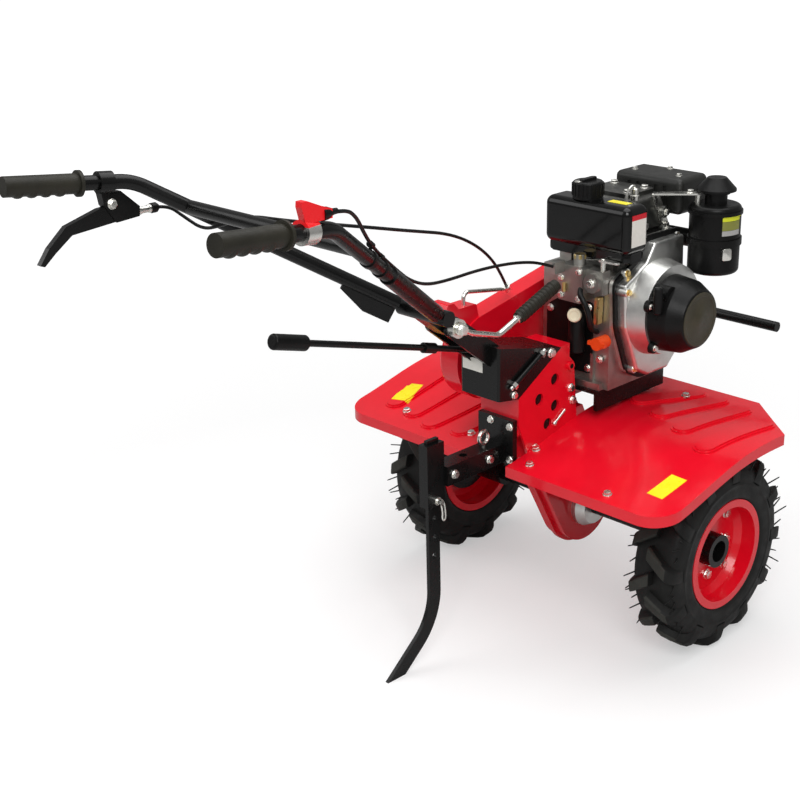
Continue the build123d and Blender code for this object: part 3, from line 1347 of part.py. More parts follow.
# Injection pump with its delivery valve, governor housing and the throttle cable's seat
governor_y = (PUMP_RIGHT_Y + GOVERNOR_RIGHT_Y) / 2
governor_z = (GOVERNOR_LOW_Z + GOVERNOR_HIGH_Z) / 2
governor_rear_x = BLOCK_REAR_X - GOVERNOR_DEPTH
with BuildPart() as injection_pump:
    block((PUMP_REAR_X, PUMP_RIGHT_Y, PUMP_LOW_Z), (BLOCK_REAR_X, PUMP_LEFT_Y, PUMP_HIGH_Z))
    fillet(injection_pump.edges().filter_by(Axis.X), PUMP_ROUND)
    post(
        BLOCK_REAR_X - PUMP_DEPTH / 2,
        DELIVERY_Y,
        PUMP_HIGH_Z - DELIVERY_RADIUS,
        PUMP_HIGH_Z + DELIVERY_HEIGHT,
        DELIVERY_RADIUS,
    )
    block((governor_rear_x, GOVERNOR_RIGHT_Y, GOVERNOR_LOW_Z), (BLOCK_REAR_X, PUMP_RIGHT_Y, GOVERNOR_HIGH_Z))
    rod(
        at(BLOCK_REAR_X, governor_y, governor_z),
        at(governor_rear_x - GOVERNOR_DISC_DEPTH, governor_y, governor_z),
        GOVERNOR_DISC_RADIUS,
    )
    block(
        (PUMP_REAR_X - CABLE_SEAT_REACH, THROTTLE_END_Y - CABLE_SEAT_HALF, THROTTLE_END_Z - CABLE_SEAT_HALF),
        (PUMP_REAR_X, THROTTLE_END_Y + CABLE_SEAT_HALF, THROTTLE_END_Z + CABLE_SEAT_REACH / 2),
    )
    rod(
        pump_end,
        pump_end - throttle_line * CABLE_SEAT_REACH,
        CABLE_RADIUS + FIT_GAP,
        Mode.SUBTRACT,
    )
save(injection_pump, "injection_pump")

# Oil filler with a winged cap
with BuildPart() as oil_filler:
    filler_end_x = BLOCK_REAR_X - FILLER_REACH
    rod(at(BLOCK_REAR_X, FILLER_Y, FILLER_Z), at(filler_end_x, FILLER_Y, FILLER_Z), FILLER_RADIUS)
    block(
        (filler_end_x, FILLER_Y - FILLER_WING, FILLER_Z - FILLER_WING_HALF),
        (filler_end_x + FILLER_WING_DEPTH, FILLER_Y + FILLER_WING, FILLER_Z + FILLER_WING_HALF),
    )
save(oil_filler, "oil_filler")

# Fuel filter on its band
with BuildPart() as fuel_filter:
    filter_x = BLOCK_REAR_X - FILTER_RADIUS - FILTER_STANDOFF
    post(filter_x, FILTER_Y, FILTER_LOW_Z, FILTER_LOW_Z + FILTER_HEIGHT, FILTER_RADIUS)
    fillet(fuel_filter.edges().filter_by(GeomType.CIRCLE), FILTER_ROUND)
    block(
        (filter_x, FILTER_Y - FILTER_BAND_HALF, FILTER_LOW_Z + FILTER_BAND_LOW),
        (BLOCK_REAR_X, FILTER_Y + FILTER_BAND_HALF, FILTER_LOW_Z + FILTER_BAND_HIGH),
    )
save(fuel_filter, "fuel_filter")

# Bumper bar across the front, on two arms under the engine mount, with a collar at each arm
bar_x = FRONT_REACH - BAR_COLLAR_RADIUS
with BuildPart() as front_bar:
    cross_rod(bar_x, BAR_Z, BAR_HALF_LENGTH, -BAR_HALF_LENGTH, BAR_RADIUS)
    for arm_y in (MOUNT_LEFT_Y - MOUNT_PLATE, BAR_ARM_RIGHT_Y):
        slab(
            (
                (BAR_ARM_REAR_X, MOUNT_LOW_Z),
                (BAR_ARM_REAR_X, MOUNT_RAIL_LOW_Z),
                (MOUNT_FRONT_X, MOUNT_RAIL_LOW_Z),
                (bar_x, BAR_Z - BAR_ARM_HALF_DEPTH),
                (bar_x, BAR_Z + BAR_ARM_HALF_DEPTH),
                (MOUNT_FRONT_X, MOUNT_LOW_Z),
            ),
            arm_y,
            arm_y - BAR_ARM_THICKNESS,
        )
        cross_rod(
            bar_x,
            BAR_Z,
            arm_y + BAR_COLLAR_MARGIN,
            arm_y - BAR_ARM_THICKNESS - BAR_COLLAR_MARGIN,
            BAR_COLLAR_RADIUS,
        )
save(front_bar, "front_bar")

# Cable stay on the tension housing, ending in a sleeve that seats the clutch cable
stay_foot_z = COVER_REAR_Z + TENSION_OUTLINE[4][1]
with BuildPart() as cable_stay:
    bent_rod(
        (
            at(STAY_FOOT_X, STAY_Y, stay_foot_z),
            at(STAY_FOOT_X, STAY_Y, STAY_KNEE_Z),
            stay_end,
        ),
        STAY_BEND,
        STAY_RADIUS,
    )
    rod(
        stay_end - clutch_line * STAY_SLEEVE_BACK,
        stay_end + clutch_line * STAY_SLEEVE_FRONT,
        STAY_SLEEVE_RADIUS,
    )
    rod(stay_end, stay_end - clutch_line * CABLE_SEAT_BORE, CABLE_RADIUS + FIT_GAP, Mode.SUBTRACT)
save(cable_stay, "cable_stay")


def cable(places):
    """A cable through the given places, each arc as large as its runs allow."""
    radii = []
    for before, corner, after in zip(places, places[1:], places[2:]):
        come, go = corner - before, after - corner
        half_turn = math.radians(come.get_angle(go)) / 2
        radii.append(ARC_SHARE * min(come.length, go.length) / math.tan(half_turn))
    bent_rod(places, radii, CABLE_RADIUS)
    print("smallest arc of the cable", round(min(radii), 1))


# Clutch cable: from the lever's barrel along the crossbar, then in a free arc to the stay
with BuildPart() as clutch_cable:
    cable(clutch_route)
save(clutch_cable, "clutch_cable")

# Throttle cable: from the control, over the right tube and across to the injection pump
with BuildPart() as throttle_cable:
    cable(throttle_route)
save(throttle_cable, "throttle_cable")
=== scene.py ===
import json
import math
import bmesh
import bpy
from mathutils import Matrix, Vector
from mathutils.bvhtree import BVHTree


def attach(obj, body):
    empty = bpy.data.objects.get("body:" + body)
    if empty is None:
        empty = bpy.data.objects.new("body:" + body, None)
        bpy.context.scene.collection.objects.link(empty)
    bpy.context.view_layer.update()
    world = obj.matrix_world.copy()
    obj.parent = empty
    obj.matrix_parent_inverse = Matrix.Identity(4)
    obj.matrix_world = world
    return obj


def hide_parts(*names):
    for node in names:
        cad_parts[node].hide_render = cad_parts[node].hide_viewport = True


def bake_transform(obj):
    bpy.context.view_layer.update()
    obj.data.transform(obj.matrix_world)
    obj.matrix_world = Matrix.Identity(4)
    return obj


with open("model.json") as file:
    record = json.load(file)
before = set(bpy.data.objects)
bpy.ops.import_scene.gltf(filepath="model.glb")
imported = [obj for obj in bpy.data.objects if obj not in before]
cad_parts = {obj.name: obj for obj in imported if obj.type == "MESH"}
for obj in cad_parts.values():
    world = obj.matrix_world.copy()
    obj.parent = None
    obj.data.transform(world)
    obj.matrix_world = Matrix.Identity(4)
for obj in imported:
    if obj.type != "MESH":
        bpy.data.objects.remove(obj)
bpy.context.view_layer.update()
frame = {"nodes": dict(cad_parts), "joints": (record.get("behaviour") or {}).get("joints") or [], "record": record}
NODES = frame["nodes"]

# Directions, and the axle as the wheel's joint gives it
MM = 0.001
WHEEL_JOINT = next(joint for joint in frame["joints"] if joint["name"] == "wheel_right_spin")
AXLE = Vector((WHEEL_JOINT["pos_m"][0], 0.0, WHEEL_JOINT["pos_m"][2]))
AXLE_HEIGHT = AXLE.z / MM
AHEAD = Vector((1, 0, 0))
LEFT = Vector((0, 1, 0))
UP = Vector((0, 0, 1))
SIDES = (("left", 1), ("right", -1))

# Camera, fitted to the photograph
CAMERA_PLACE = Vector((-1.8337, -1.7633, 1.4954))
CAMERA_YAW = math.radians(46.647)
CAMERA_PITCH = math.radians(-20.836)
CAMERA_ROLL = math.radians(-1.535)
SENSOR_MM = 36.0
LENS_MM = 63.99

# Floor, world and lamps, in metres and watts
FLOOR_HALF = 40.0
FLOOR_ALBEDO = 0.60
GLOW_NEAR = 0.41
GLOW_FAR = 0.90
GLOW_START = 1.4
GLOW_END = 5.0
WORLD_LIGHT = 0.30
LAMP_AIM_HEIGHT = 0.3
LAMPS = (
    ("key_lamp", (-2.2, -2.6, 3.2), 2.2, 100.0),
    ("fill_lamp", (-2.4, 2.6, 2.6), 2.4, 34.0),
    ("top_lamp", (0.5, 0.0, 3.4), 3.0, 70.0),
)

# Height in metres where the throttle's plastic meets its metal clamp
THROTTLE_SPLIT = 1.0185
THROTTLE_SPLIT_HALF = 0.0005

# From here on sizes and places are in millimetres: x from the axle, y from the middle, z from the floor.
# A turned profile gives places along its axis and radii.

# Stickers
LABEL_STEPS = 36
LABEL_LIFT = 0.6
FENDER_ABOVE_Z = 700.0
FENDER_LABELS = (
    ("right_fender_label", "fender_right", (-181, -359), (0.998, -0.060), (70, 36)),
    ("left_fender_label", "fender_left", (-171, 339), (0.966, 0.259), (66, 42)),
)
BRACKET_LABEL = (-340, 18, 583)
BRACKET_LABEL_SIZE = (52, 26)
TANK_LABEL = (-20, -200, 815)
TANK_LABEL_SIZE = (44, 52)
TANK_BAND = (-20, -200, 846)
TANK_BAND_SIZE = (44, 10)
TANK_TOP_LABEL = (-16, -104, 920)
TANK_TOP_LABEL_SIZE = (46, 18)
CLEANER_LABEL_WAY = Vector((-0.26, -0.966, 0))
CLEANER_LABEL_START = 100.0
CLEANER_LABEL_WIDTH = 42
CLEANER_LABEL_BANDS = (("top", 820, 9), ("middle", 806, 18), ("low", 791.5, 10))

# Tyres
HALF_TRACK = 332.0
TYRE_HALF_WIDTH = 52.5
TYRE_SIDES = 96
CARCASS_HALF = (
    (44.5, 103.0), (44.5, 113.4), (48.0, 115.0), (50.5, 119.0), (51.5, 124.0), (51.9, 136.0), (52.0, 142.0),
    (52.5, 143.2), (52.5, 145.6), (52.0, 146.8), (51.8, 156.0), (49.0, 167.0), (44.0, 175.0), (36.0, 180.0),
    (22.0, 182.0),
)
LUG_COUNT = 12
LUG_SLANT = 36.0
LUG_TURN_RADIUS = 190.0
LUG_ROWS = ((1, 0.0), (-1, 0.5))
# A lug's stations: reach from the tread's middle, radius of its top and of its root
LUG_STATIONS = (
    (-5.0, 199.0, 178.0), (-3.0, 200.0, 178.0), (12.0, 200.0, 178.0), (30.0, 199.6, 176.0),
    (40.0, 197.5, 172.0), (46.5, 191.0, 166.0), (50.2, 183.0, 160.0), (52.2, 170.0, 152.0),
    (52.2, 158.0, 150.0),
)
LUG_TOP_HALF = 11.5
LUG_BASE_HALF = 16.5
# A lug's flank: how far past the top's half width, and how far below the top
LUG_FLANK = ((-1.5, 0.0), (0.0, 1.2), (2.0, 5.0))
TREAD_FROM = 196.5

# Moulding hairs; one that points lower than HAIR_FLOOR would touch the floor
HAIR_COUNT = LUG_COUNT * 4
HAIR_FLOOR = -0.72
HAIR_ACROSS = 45.0
HAIR_ROOT = 170.0
HAIR_LENGTH = 27.0
HAIR_LENGTH_SWING = 6.0
HAIR_RADII = (1.6, 1.2)
HAIR_TIP = 3.0
HAIR_STRAY = 0.3
HAIR_SPLAY = 0.25
HAIR_SPLAY_SWING = 0.2

# Wheel bolts: circle, turn of the first, thread
RIM_FACE_Y = 336.0
WHEEL_BOLTS = ((59.0, 0.0, 10.0), (80.0, math.pi / 4, 9.0))
WHEEL_BOLT_COUNT = 4
VALVE_X = -57.0
VALVE_RISE = 72.0
VALVE_OUT = 6.0
VALVE_TILT = Vector((0.2, 0, -0.25))
VALVE_STEM = ((-4, 0), (-4, 5), (2, 5), (6, 3.6), (20, 3.6), (21, 4.6), (30, 4.4), (31.5, 3.4), (31.5, 0))

# Fenders
FENDER_BOLTS = {
    "fender_right": ((-251, -85), (-202, -58), (-256, -280), (150, -70), (142, -168)),
    "fender_left": ((-228, 282), (-221, 100), (-202, 58), (150, 70), (142, 168)),
}
FENDER_BOLT = 8.0

# Frame plates; a bolt's row ends with its thread
PLATE_FACE_Y = 50.0
PLATE_INNER_Y = 44.0
PLATE_HOLES = ((-137, 523), (-184, 493), (-136, 467), (-158, 434))
# Painted shade: black discs set in the plate's holes stand for the shadow inside them
PLATE_HOLE_SHADE_RADIUS = 11.5
PLATE_HOLE_SHADE = ((0, 0), (0, PLATE_HOLE_SHADE_RADIUS), (1, PLATE_HOLE_SHADE_RADIUS), (2, PLATE_HOLE_SHADE_RADIUS - 1.5), (2, 0))
PLATE_BOSS = (-94, 57, 541)
# Painted shade: a black disc in the boss's mouth stands for the shadow in its bore
PLATE_BOSS_SHADE = ((-3, 0), (-3, 5), (0.4, 5), (0.4, 0))
PLATE_BOLTS = ((-88, 492, 8.0), (-82, 464, 8.0), (-196, 394, 8.0), (-150, 582, 9.0), (-258, 523, 7.0))
PLATE_PIN_ENDS = ((-141, -53, 430), (-109, -53, 451))
PLATE_PIN_RADIUS = 3.0
PLATE_PIN_HEAD = ((-4, 0), (-4, 5), (2, 5), (3, 4), (3, 0))
TIE_ROD_ENDS = ((-268, -55, 543), (-180, -55, 592))
TIE_ROD_RADIUS = 5.5
TIE_ROD_NUT = ((-9, 0), (-9, 8.5), (-2, 8.5), (-1, 7.5), (-1, 0))
TIE_ROD_TIP = ((-1, 0), (-1, 4.5), (6, 4.5), (7, 3.5), (7, 0))

# Hitch
HITCH_FACE_X = -257.0
HITCH_PLATE_BOLTS = ((-38, 453), (12, 456), (-38, 384), (38, 384))
HITCH_PLATE_BOLT = 7.0
DRAWBAR_HALF_WIDTH = 20.0
DRAWBAR_BOLTS = ((-394, 392), (-296, 392))
DRAWBAR_BOLT = 8.0
STAKE_CLIP = (
    (-436, -24, 354), (-430, -24, 350), (-427, -24, 338), (-424, -24, 316), (-428, -24, 306),
    (-434, -24, 312), (-432, -24, 326), (-436, -24, 342),
)
STAKE_CLIP_RADIUS = 1.7

# Fan shroud; a bolt's row ends with the height of its boss
FLANGE_FACE_Y = -122.0
SCROLL_FACE_Y = -144.0
SHROUD_MIDDLE = Vector((60, 0, 644))
SHROUD_OUTLINE = (
    (46, 788), (18, 748), (-50, 716), (-44, 622), (-4, 520), (38, 498), (112, 498), (150, 535), (160, 640),
    (155, 788),
)
SHROUD_CORNER = 14.0
SEAL_Y = -118.0
SEAL_DEPTH = 5.5
SEAL_GROWTH = 1.2
SHROUD_BOLTS = ((-34, 697, 24), (8, 527, 14), (-16, 729, 6), (146, 772, 6), (148, 560, 6))
SHROUD_BOLT = 6.0
SHROUD_RIDGE = ((-34, 640), (-2, 632), (-3, 628), (-34, 635))
SHROUD_RIDGE_SUNK = 1.0
SHROUD_RIDGE_DEPTH = 3.5
SHROUD_RIDGE_EASE = 0.8

# Recoil starter
CRANK = (55.0, 644.0)
CONE_FACE_Y = -182.0
RECOIL_END_Y = -252.0
RECOIL_FACE = ((-2, 0), (-2, 54), (0.8, 54), (1.6, 53), (1.6, 46), (0.9, 45), (0.9, 14), (2.2, 12), (2.2, 0))
RECOIL_EAR_TURNS = (158, 225, 20, -40)
RECOIL_BASE_RADIUS = 77.0
RECOIL_EAR_CIRCLE = RECOIL_BASE_RADIUS + 5.0
RECOIL_EAR_HEIGHT = 8.5
RECOIL_EAR = ((-1, 0), (-1, 12), (7, 11.5), (RECOIL_EAR_HEIGHT, 10), (RECOIL_EAR_HEIGHT, 0))
RECOIL_SCREW = 6.0
RECOIL_HANDLE = (-22, -207, 690)
RECOIL_GRIP = ((-27, 0), (-27, 6), (-24, 8.5), (-6, 9.5), (6, 9.5), (24, 8.5), (27, 6), (27, 0))
RECOIL_ROPE_ENDS = ((-22, -207, 694), (6, -204, 696))
RECOIL_ROPE_RADIUS = 5.0

# Fuel tank and its cap
CRADLE = ((-47, -150), (10, -150), (10, 50), (-47, 50))
CRADLE_LOW_Z = 755.0
CRADLE_HEIGHT = 20.0
CRADLE_CORNER = 14.0
CRADLE_EASE = 4.0
CAP_MIDDLE = (-20.5, -29)
CAP_RIB_COUNT = 20
CAP_RIB_CIRCLE = 30.0
CAP_RIB_RADIUS = 2.2
CAP_RIB_LOW_Z = 872.0
CAP_RIB_HIGH_Z = 896.0
CAP_TOP_Z = 899.0
CAP_BAR = ((-22, -6), (22, -6), (22, 6), (-22, 6))
CAP_BAR_HEIGHT = 6.0
CAP_BAR_CORNER = 5.0
CAP_BAR_EASE = 1.5
CAP_TAB = ((-50, -30), (-36, -33), (-36, -15), (-50, -17))
CAP_TAB_Z = 899.5
CAP_TAB_HEIGHT = 2.5
CAP_TAB_CORNER = 4.0
CAP_TAB_EASE = 0.6

# Cylinder head
ROCKER_COVER = ((46, -78), (134, -78), (134, 30), (46, 30))
ROCKER_LOW_Z = 857.0
ROCKER_HEIGHT = 9.0
ROCKER_CORNER = 12.0
ROCKER_EASE = 2.0
ROCKER_NUTS = ((62, -62), (118, -62), (118, 14), (62, 14))
ROCKER_NUT = 8.0
HEAD_SIDE_Y = -100.0
HEAD_BOSS_HEIGHT = 9.5
HEAD_BOSS = ((-2, 0), (-2, 13), (8, 12), (HEAD_BOSS_HEIGHT, 10.5), (HEAD_BOSS_HEIGHT, 0))
HEAD_BOSSES = ((128, 822), (132, 786), (60, 806))
HEAD_BOSS_BOLT = 7.0
INJECTOR_PLACE = (52, -88, 852)
INJECTOR = ((0, 0), (0, 9), (14, 9), (15, 7), (26, 7), (28, 5), (28, 0))
INJECTION_PIPE = (
    (-56, -48, 752), (-44, -52, 748), (-10, -64, 745), (16, -76, 744), (26, -80, 760), (28, -82, 820),
    (30, -84, 872), (42, -87, 886), (52, -88, 884), (52, -88, 876),
)
INJECTION_PIPE_RADIUS = 3.0

# Air cleaner's strap and spring clips
CLEANER = (184.0, -188.0)
CLEANER_RADIUS = 51.0
STRAP_LEG = ((88, 864), (110, 864), (148, 792), (128, 784))
STRAP_LEG_Y = -101.0
STRAP_ARM = ((88, -99), (118, -99), (172, -160), (150, -172))
STRAP_ARM_Z = 861.0
STRAP_THICKNESS = 3.0
STRAP_CORNER = 6.0
STRAP_EASE = 0.8
STRAP_ARM_BOLT = (150, -150, 864)
STRAP_LEG_BOLT = (136, -104, 794)
STRAP_BOLT = 7.0
STRAP_POST_PLACE = (157, -164, 840)
STRAP_POST = ((0, 0), (0, 6), (24, 6), (24, 0))
CLEANER_CLIP_TURNS = (242, 62)
CLEANER_CLIP = ((-10, 738), (10, 738), (9, 762), (-9, 762))
CLEANER_CLIP_SUNK = 1.5
CLEANER_CLIP_DEPTH = 7.0
CLEANER_CLIP_CORNER = 4.0
CLEANER_CLIP_EASE = 1.0

# Injection pump, governor and the block's rear
BLOCK_REAR_X = -45.0
PUMP_FACE_X = -80.0
PUMP_BOLTS = ((-14, 714), (-14, 678), (-58, 678), (-58, 732))
PUMP_BOLT = 6.0
GOVERNOR_BOLT_PLACE = (-79, -88, 714)
GOVERNOR_BOLT = 8.0
LEVER_POST_PLACE = (-57, -100, 736)
LEVER_POST = ((0, 0), (0, 5), (25, 5), (26, 4), (26, 0))
PUMP_LEVER = ((-65, -92), (-49, -92), (-51, -138), (-63, -138))
PUMP_LEVER_Z = 756.0
PUMP_LEVER_HEIGHT = 4.0
PUMP_LEVER_CORNER = 5.0
PUMP_LEVER_EASE = 0.8
BLOCK_COVER = ((-70, 515), (48, 515), (48, 640), (10, 664), (-70, 664))
BLOCK_COVER_SUNK = 0.5
BLOCK_COVER_DEPTH = 4.0
BLOCK_COVER_CORNER = 12.0
BLOCK_COVER_EASE = 1.0
BLOCK_BOLTS = ((-61, 526), (-90, 551), (38, 526), (38, 634), (-61, 654))
BLOCK_BOLT = 7.0
UNION_PLACE = (-62.5, -46, 757)
UNION_NUT = ((-2, 0), (-2, 13.5), (6, 13.5), (7, 12), (7, 0))
PUMP_STRAP = ((-95, 682), (-84, 682), (-82, 626), (-93, 626))
PUMP_STRAP_X = -47.0
PUMP_STRAP_DEPTH = 14.0
PUMP_STRAP_CORNER = 3.0
PUMP_STRAP_EASE = 1.0
SPRING_LOW = (-84, -25, 688)
SPRING_TURNS = 7
SPRING_PITCH = 2.6
SPRING_WIRE = ((0, 2.5), (0, 4.5), (1.6, 4.5), (1.6, 2.5))
FUEL_HOSE = (
    (-72, -60, 700), (-88, -66, 694), (-92, -80, 682), (-88, -90, 662), (-82, -90, 636), (-70, -84, 616),
    (-46, -80, 606),
)
FUEL_HOSE_RADIUS = 5.5
STRAINER_PLACE = (-79, -49, 642)
STRAINER_WAY = Vector((-0.80, -0.50, 0.32))
STRAINER_CAP = ((-4, 0), (-4, 14), (6, 14), (8, 12.5), (8, 9), (7, 8), (7, 0))

# Muffler and belt cover
MUFFLER_ABOVE_Z = 1000.0
MUFFLER_SCREWS = ((180, -100), (180, 10), (226, -45))
MUFFLER_SCREW = 6.0
BELT_COVER_BESIDE_Y = 500.0
BELT_COVER_BOLTS = ((-182, 553), (-250, 545), (-170, 486), (-60, 560), (-70, 650), (60, 676), (70, 612))
BELT_COVER_BOLT = 8.0

# Handle
TUBE_BASE = (-446.0, 38.0, 723.0)
TUBE_BEND = (-879.0, 252.0, 1003.0)
TUBE_END = (-1105.0, 278.0, 1027.0)
FINGER_COUNT = 4
GRIP_LENGTH = 132.0
FINGER_FIRST = 34.0 - GRIP_LENGTH
FINGER_PITCH = 24.0
FINGER_DROP = 4.0
FINGER_WAVE = ((-12, 0), (-12, 9), (-9, 13), (-4, 15.6), (0, 16.2), (4, 15.6), (9, 13), (12, 9), (12, 0))
CLAMP_GRIP_ENDS = ((-231, -35.5, 669.6), (-120.7, -35.5, 711.4))
CLAMP_RING_COUNT = 11
CLAMP_RING_FIRST = 6.0
CLAMP_RING_PITCH = 9.6
CLAMP_RING = ((0, 10.5), (0, 12.4), (1.5, 13.8), (5, 13.8), (6.5, 12.4), (6.5, 10.5))
CLAMP_NUT = ((-2, 0), (-2, 9), (5, 9), (6.5, 7.5), (6.5, 0))
PIVOT_BOLT = 11.0
PIVOT_RIGHT = (-400, -49, 690)
PIVOT_LEFT = (-400, 34, 690)

# Cable fittings; a clip's row gives its share of the right tube and the cable's place there
CABLE_CLIPS = ((0.596, (-704, -166, 910)), (0.70, (-748, -192, 943)))
TUBE_CLIP_RADIUS = 12.4
TUBE_CLIP = ((-6, TUBE_CLIP_RADIUS), (-6, 14.8), (6, 14.8), (6, TUBE_CLIP_RADIUS))
CABLE_CLIP = ((-6, 3.2), (-6, 5.6), (6, 5.6), (6, 3.2))
CLIP_WEB_RADIUS = 3.0
CLIP_WEB_START = 1.0
CLIP_WEB_END = 4.2
CLUTCH_CABLE_END = (-838, 262, 948)
CLUTCH_SLEEVE = (
    (-30, 3.2), (-30, 7.5), (-24, 7.5), (-23, 6.2), (-8, 6.2), (-7, 7.5), (-4, 7.5), (-4, 3.2),
)
CLUTCH_KNOB = ((-3, 3.2), (-3, 8), (-2, 9), (8, 9), (9, 8), (13, 5), (13, 3.2))
CLUTCH_PIVOT_RIGHT = (-921, 253, 971)
CLUTCH_PIVOT_LEFT = (-921, 271, 971)
CLUTCH_PIVOT = 8.0
THROTTLE_CABLE_END = (-900, -262, 1030)
THROTTLE_BOOT = ((-4, 3.2), (-4, 10.5), (6, 9.5), (17, 5), (25, 4.4), (25, 3.2))

# Cables, with the routes of the solids' tubes
CABLE_DIAMETER = 6.0
CLUTCH_ROUTE = (
    (-836, 262, 948), (-806, 262, 948), (-786, 240, 925), (-776, 204, 908), (-770, 158, 921),
    (-764, 90, 948), (-751, 14, 949), (-702, -46, 943), (-629, -67, 927), (-555, -58, 907),
    (-482, -39, 887), (-411, -17, 867), (-342, 5, 841), (-275, 29, 808), (-214, 53, 770),
    (-159, 77, 725), (-110, 101, 674),
)
THROTTLE_ROUTE = (
    (-889, -262, 1029), (-857, -262, 1029), (-822, -244, 1008), (-788, -220, 976), (-752, -196, 945),
    (-704, -166, 912), (-640, -132, 870), (-575, -96, 830), (-505, -66, 801), (-430, -46, 790),
    (-352, -34, 787), (-277, -28, 782), (-205, -22, 772), (-145, -18, 757), (-92, -15, 735),
)


def at(x, y, z):
    """A point given from the axle in millimetres, in the frame in metres."""
    return Vector((AXLE.x + x * MM, y * MM, z * MM))


# Materials


def new_material(name):
    """A material with its nodes, links and shader."""
    material = bpy.data.materials.new(name)
    material.use_nodes = True
    tree = material.node_tree
    return material, tree.nodes, tree.links, tree.nodes["Principled BSDF"]


def noise(nodes, links, scale, detail=3.0, roughness=0.55):
    """Noise in object space, at that many features to the metre."""
    where = nodes.new("ShaderNodeTexCoord")
    texture = nodes.new("ShaderNodeTexNoise")
    texture.inputs["Scale"].default_value = scale
    texture.inputs["Detail"].default_value = detail
    texture.inputs["Roughness"].default_value = roughness
    links.new(where.outputs["Object"], texture.inputs["Vector"])
    return texture.outputs["Fac"]


def ramp(nodes, links, value, stops):
    """A colour ramp over a value."""
    node = nodes.new("ShaderNodeValToRGB")
    elements = node.color_ramp.elements
    while len(elements) < len(stops):
        elements.new(0.5)
    for element, (place, colour) in zip(elements, stops):
        element.position = place
        element.color = (*colour, 1.0)
    links.new(value, node.inputs["Fac"])
    return node.outputs["Color"]


def spread(nodes, links, value, low, high):
    """Maps the middle of a noise to a range."""
    node = nodes.new("ShaderNodeMapRange")
    node.inputs["From Min"].default_value = 0.3
    node.inputs["From Max"].default_value = 0.7
    node.inputs["To Min"].default_value = low
    node.inputs["To Max"].default_value = high
    links.new(value, node.inputs["Value"])
    return node.outputs["Result"]


def bump(nodes, links, shader, height, strength, distance):
    """Bump from a height."""
    node = nodes.new("ShaderNodeBump")
    node.inputs["Strength"].default_value = strength
    node.inputs["Distance"].default_value = distance
    links.new(height, node.inputs["Height"])
    links.new(node.outputs["Normal"], shader.inputs["Normal"])


def textured(name, rough, stops, mottle, polish, grain, depth):
    """A mottled tint, an uneven polish and a grain. Each noise is given as its scale and its detail."""
    material, nodes, links, shader = new_material(name)
    links.new(ramp(nodes, links, noise(nodes, links, *mottle), stops), shader.inputs["Base Color"])
    links.new(spread(nodes, links, noise(nodes, links, *polish), *rough), shader.inputs["Roughness"])
    bump(nodes, links, shader, noise(nodes, links, *grain), *depth)
    return material, shader


def paint(name, colour, shade, rough, coat, shine, peel=0.25):
    """Gloss paint: slow colour change, patches of finer and coarser gloss, orange peel."""
    stops = ((0.3, shade), (0.7, colour))
    material, shader = textured(name, rough, stops, (9, 4), (30, 5), (420, 2), (peel, 0.0004))
    shader.inputs["Specular IOR Level"].default_value = shine
    shader.inputs["Coat Weight"].default_value = coat
    shader.inputs["Coat Roughness"].default_value = 0.08
    return material


def metal(name, colour, shade, rough, grain_scale, grain):
    """Bare metal: cloudy tint, uneven polish and a fine grain."""
    stops = ((0.3, shade), (0.68, colour))
    material, shader = textured(name, rough, stops, (26, 6), (60, 6), (grain_scale, 4), (grain, 0.0006))
    shader.inputs["Metallic"].default_value = 1.0
    return material


def moulded(name, colour, shade, rough, grain_scale, grain, coat=0.0, shine=0.25):
    """Plastic or rubber: faint mottling, uneven sheen and a moulded grain."""
    stops = ((0.3, shade), (0.7, colour))
    material, shader = textured(name, rough, stops, (18, 5), (45, 5), (grain_scale, 3), (grain, 0.0006))
    shader.inputs["Specular IOR Level"].default_value = shine
    shader.inputs["Coat Weight"].default_value = coat
    shader.inputs["Coat Roughness"].default_value = 0.06
    return material


def sticker(name, colour, shade):
    """A blank sticker's film, a little uneven."""
    return moulded(name, colour, shade, (0.22, 0.34), 240, 0.06, coat=0.2)


def throttle_material():
    """Red plastic above the bright metal clamp, split by height."""
    material, nodes, links, shader = new_material("throttle_two_tone")
    where = nodes.new("ShaderNodeTexCoord")
    height = nodes.new("ShaderNodeSeparateXYZ")
    links.new(where.outputs["Object"], height.inputs["Vector"])
    upper = nodes.new("ShaderNodeMapRange")
    upper.inputs["From Min"].default_value = THROTTLE_SPLIT - THROTTLE_SPLIT_HALF
    upper.inputs["From Max"].default_value = THROTTLE_SPLIT + THROTTLE_SPLIT_HALF
    links.new(height.outputs["Z"], upper.inputs["Value"])
    lower = nodes.new("ShaderNodeMapRange")
    lower.inputs["To Min"].default_value = 1.0
    lower.inputs["To Max"].default_value = 0.0
    links.new(upper.outputs["Result"], lower.inputs["Value"])
    bright = (0.80, 0.79, 0.75)
    red = (0.86, 0.010, 0.015)
    tint = ramp(nodes, links, upper.outputs["Result"], ((0.45, bright), (0.55, red)))
    links.new(tint, shader.inputs["Base Color"])
    links.new(lower.outputs["Result"], shader.inputs["Metallic"])
    links.new(spread(nodes, links, noise(nodes, links, 60, 5), 0.22, 0.36), shader.inputs["Roughness"])
    bump(nodes, links, shader, noise(nodes, links, 900, 3), 0.2, 0.0006)
    return material


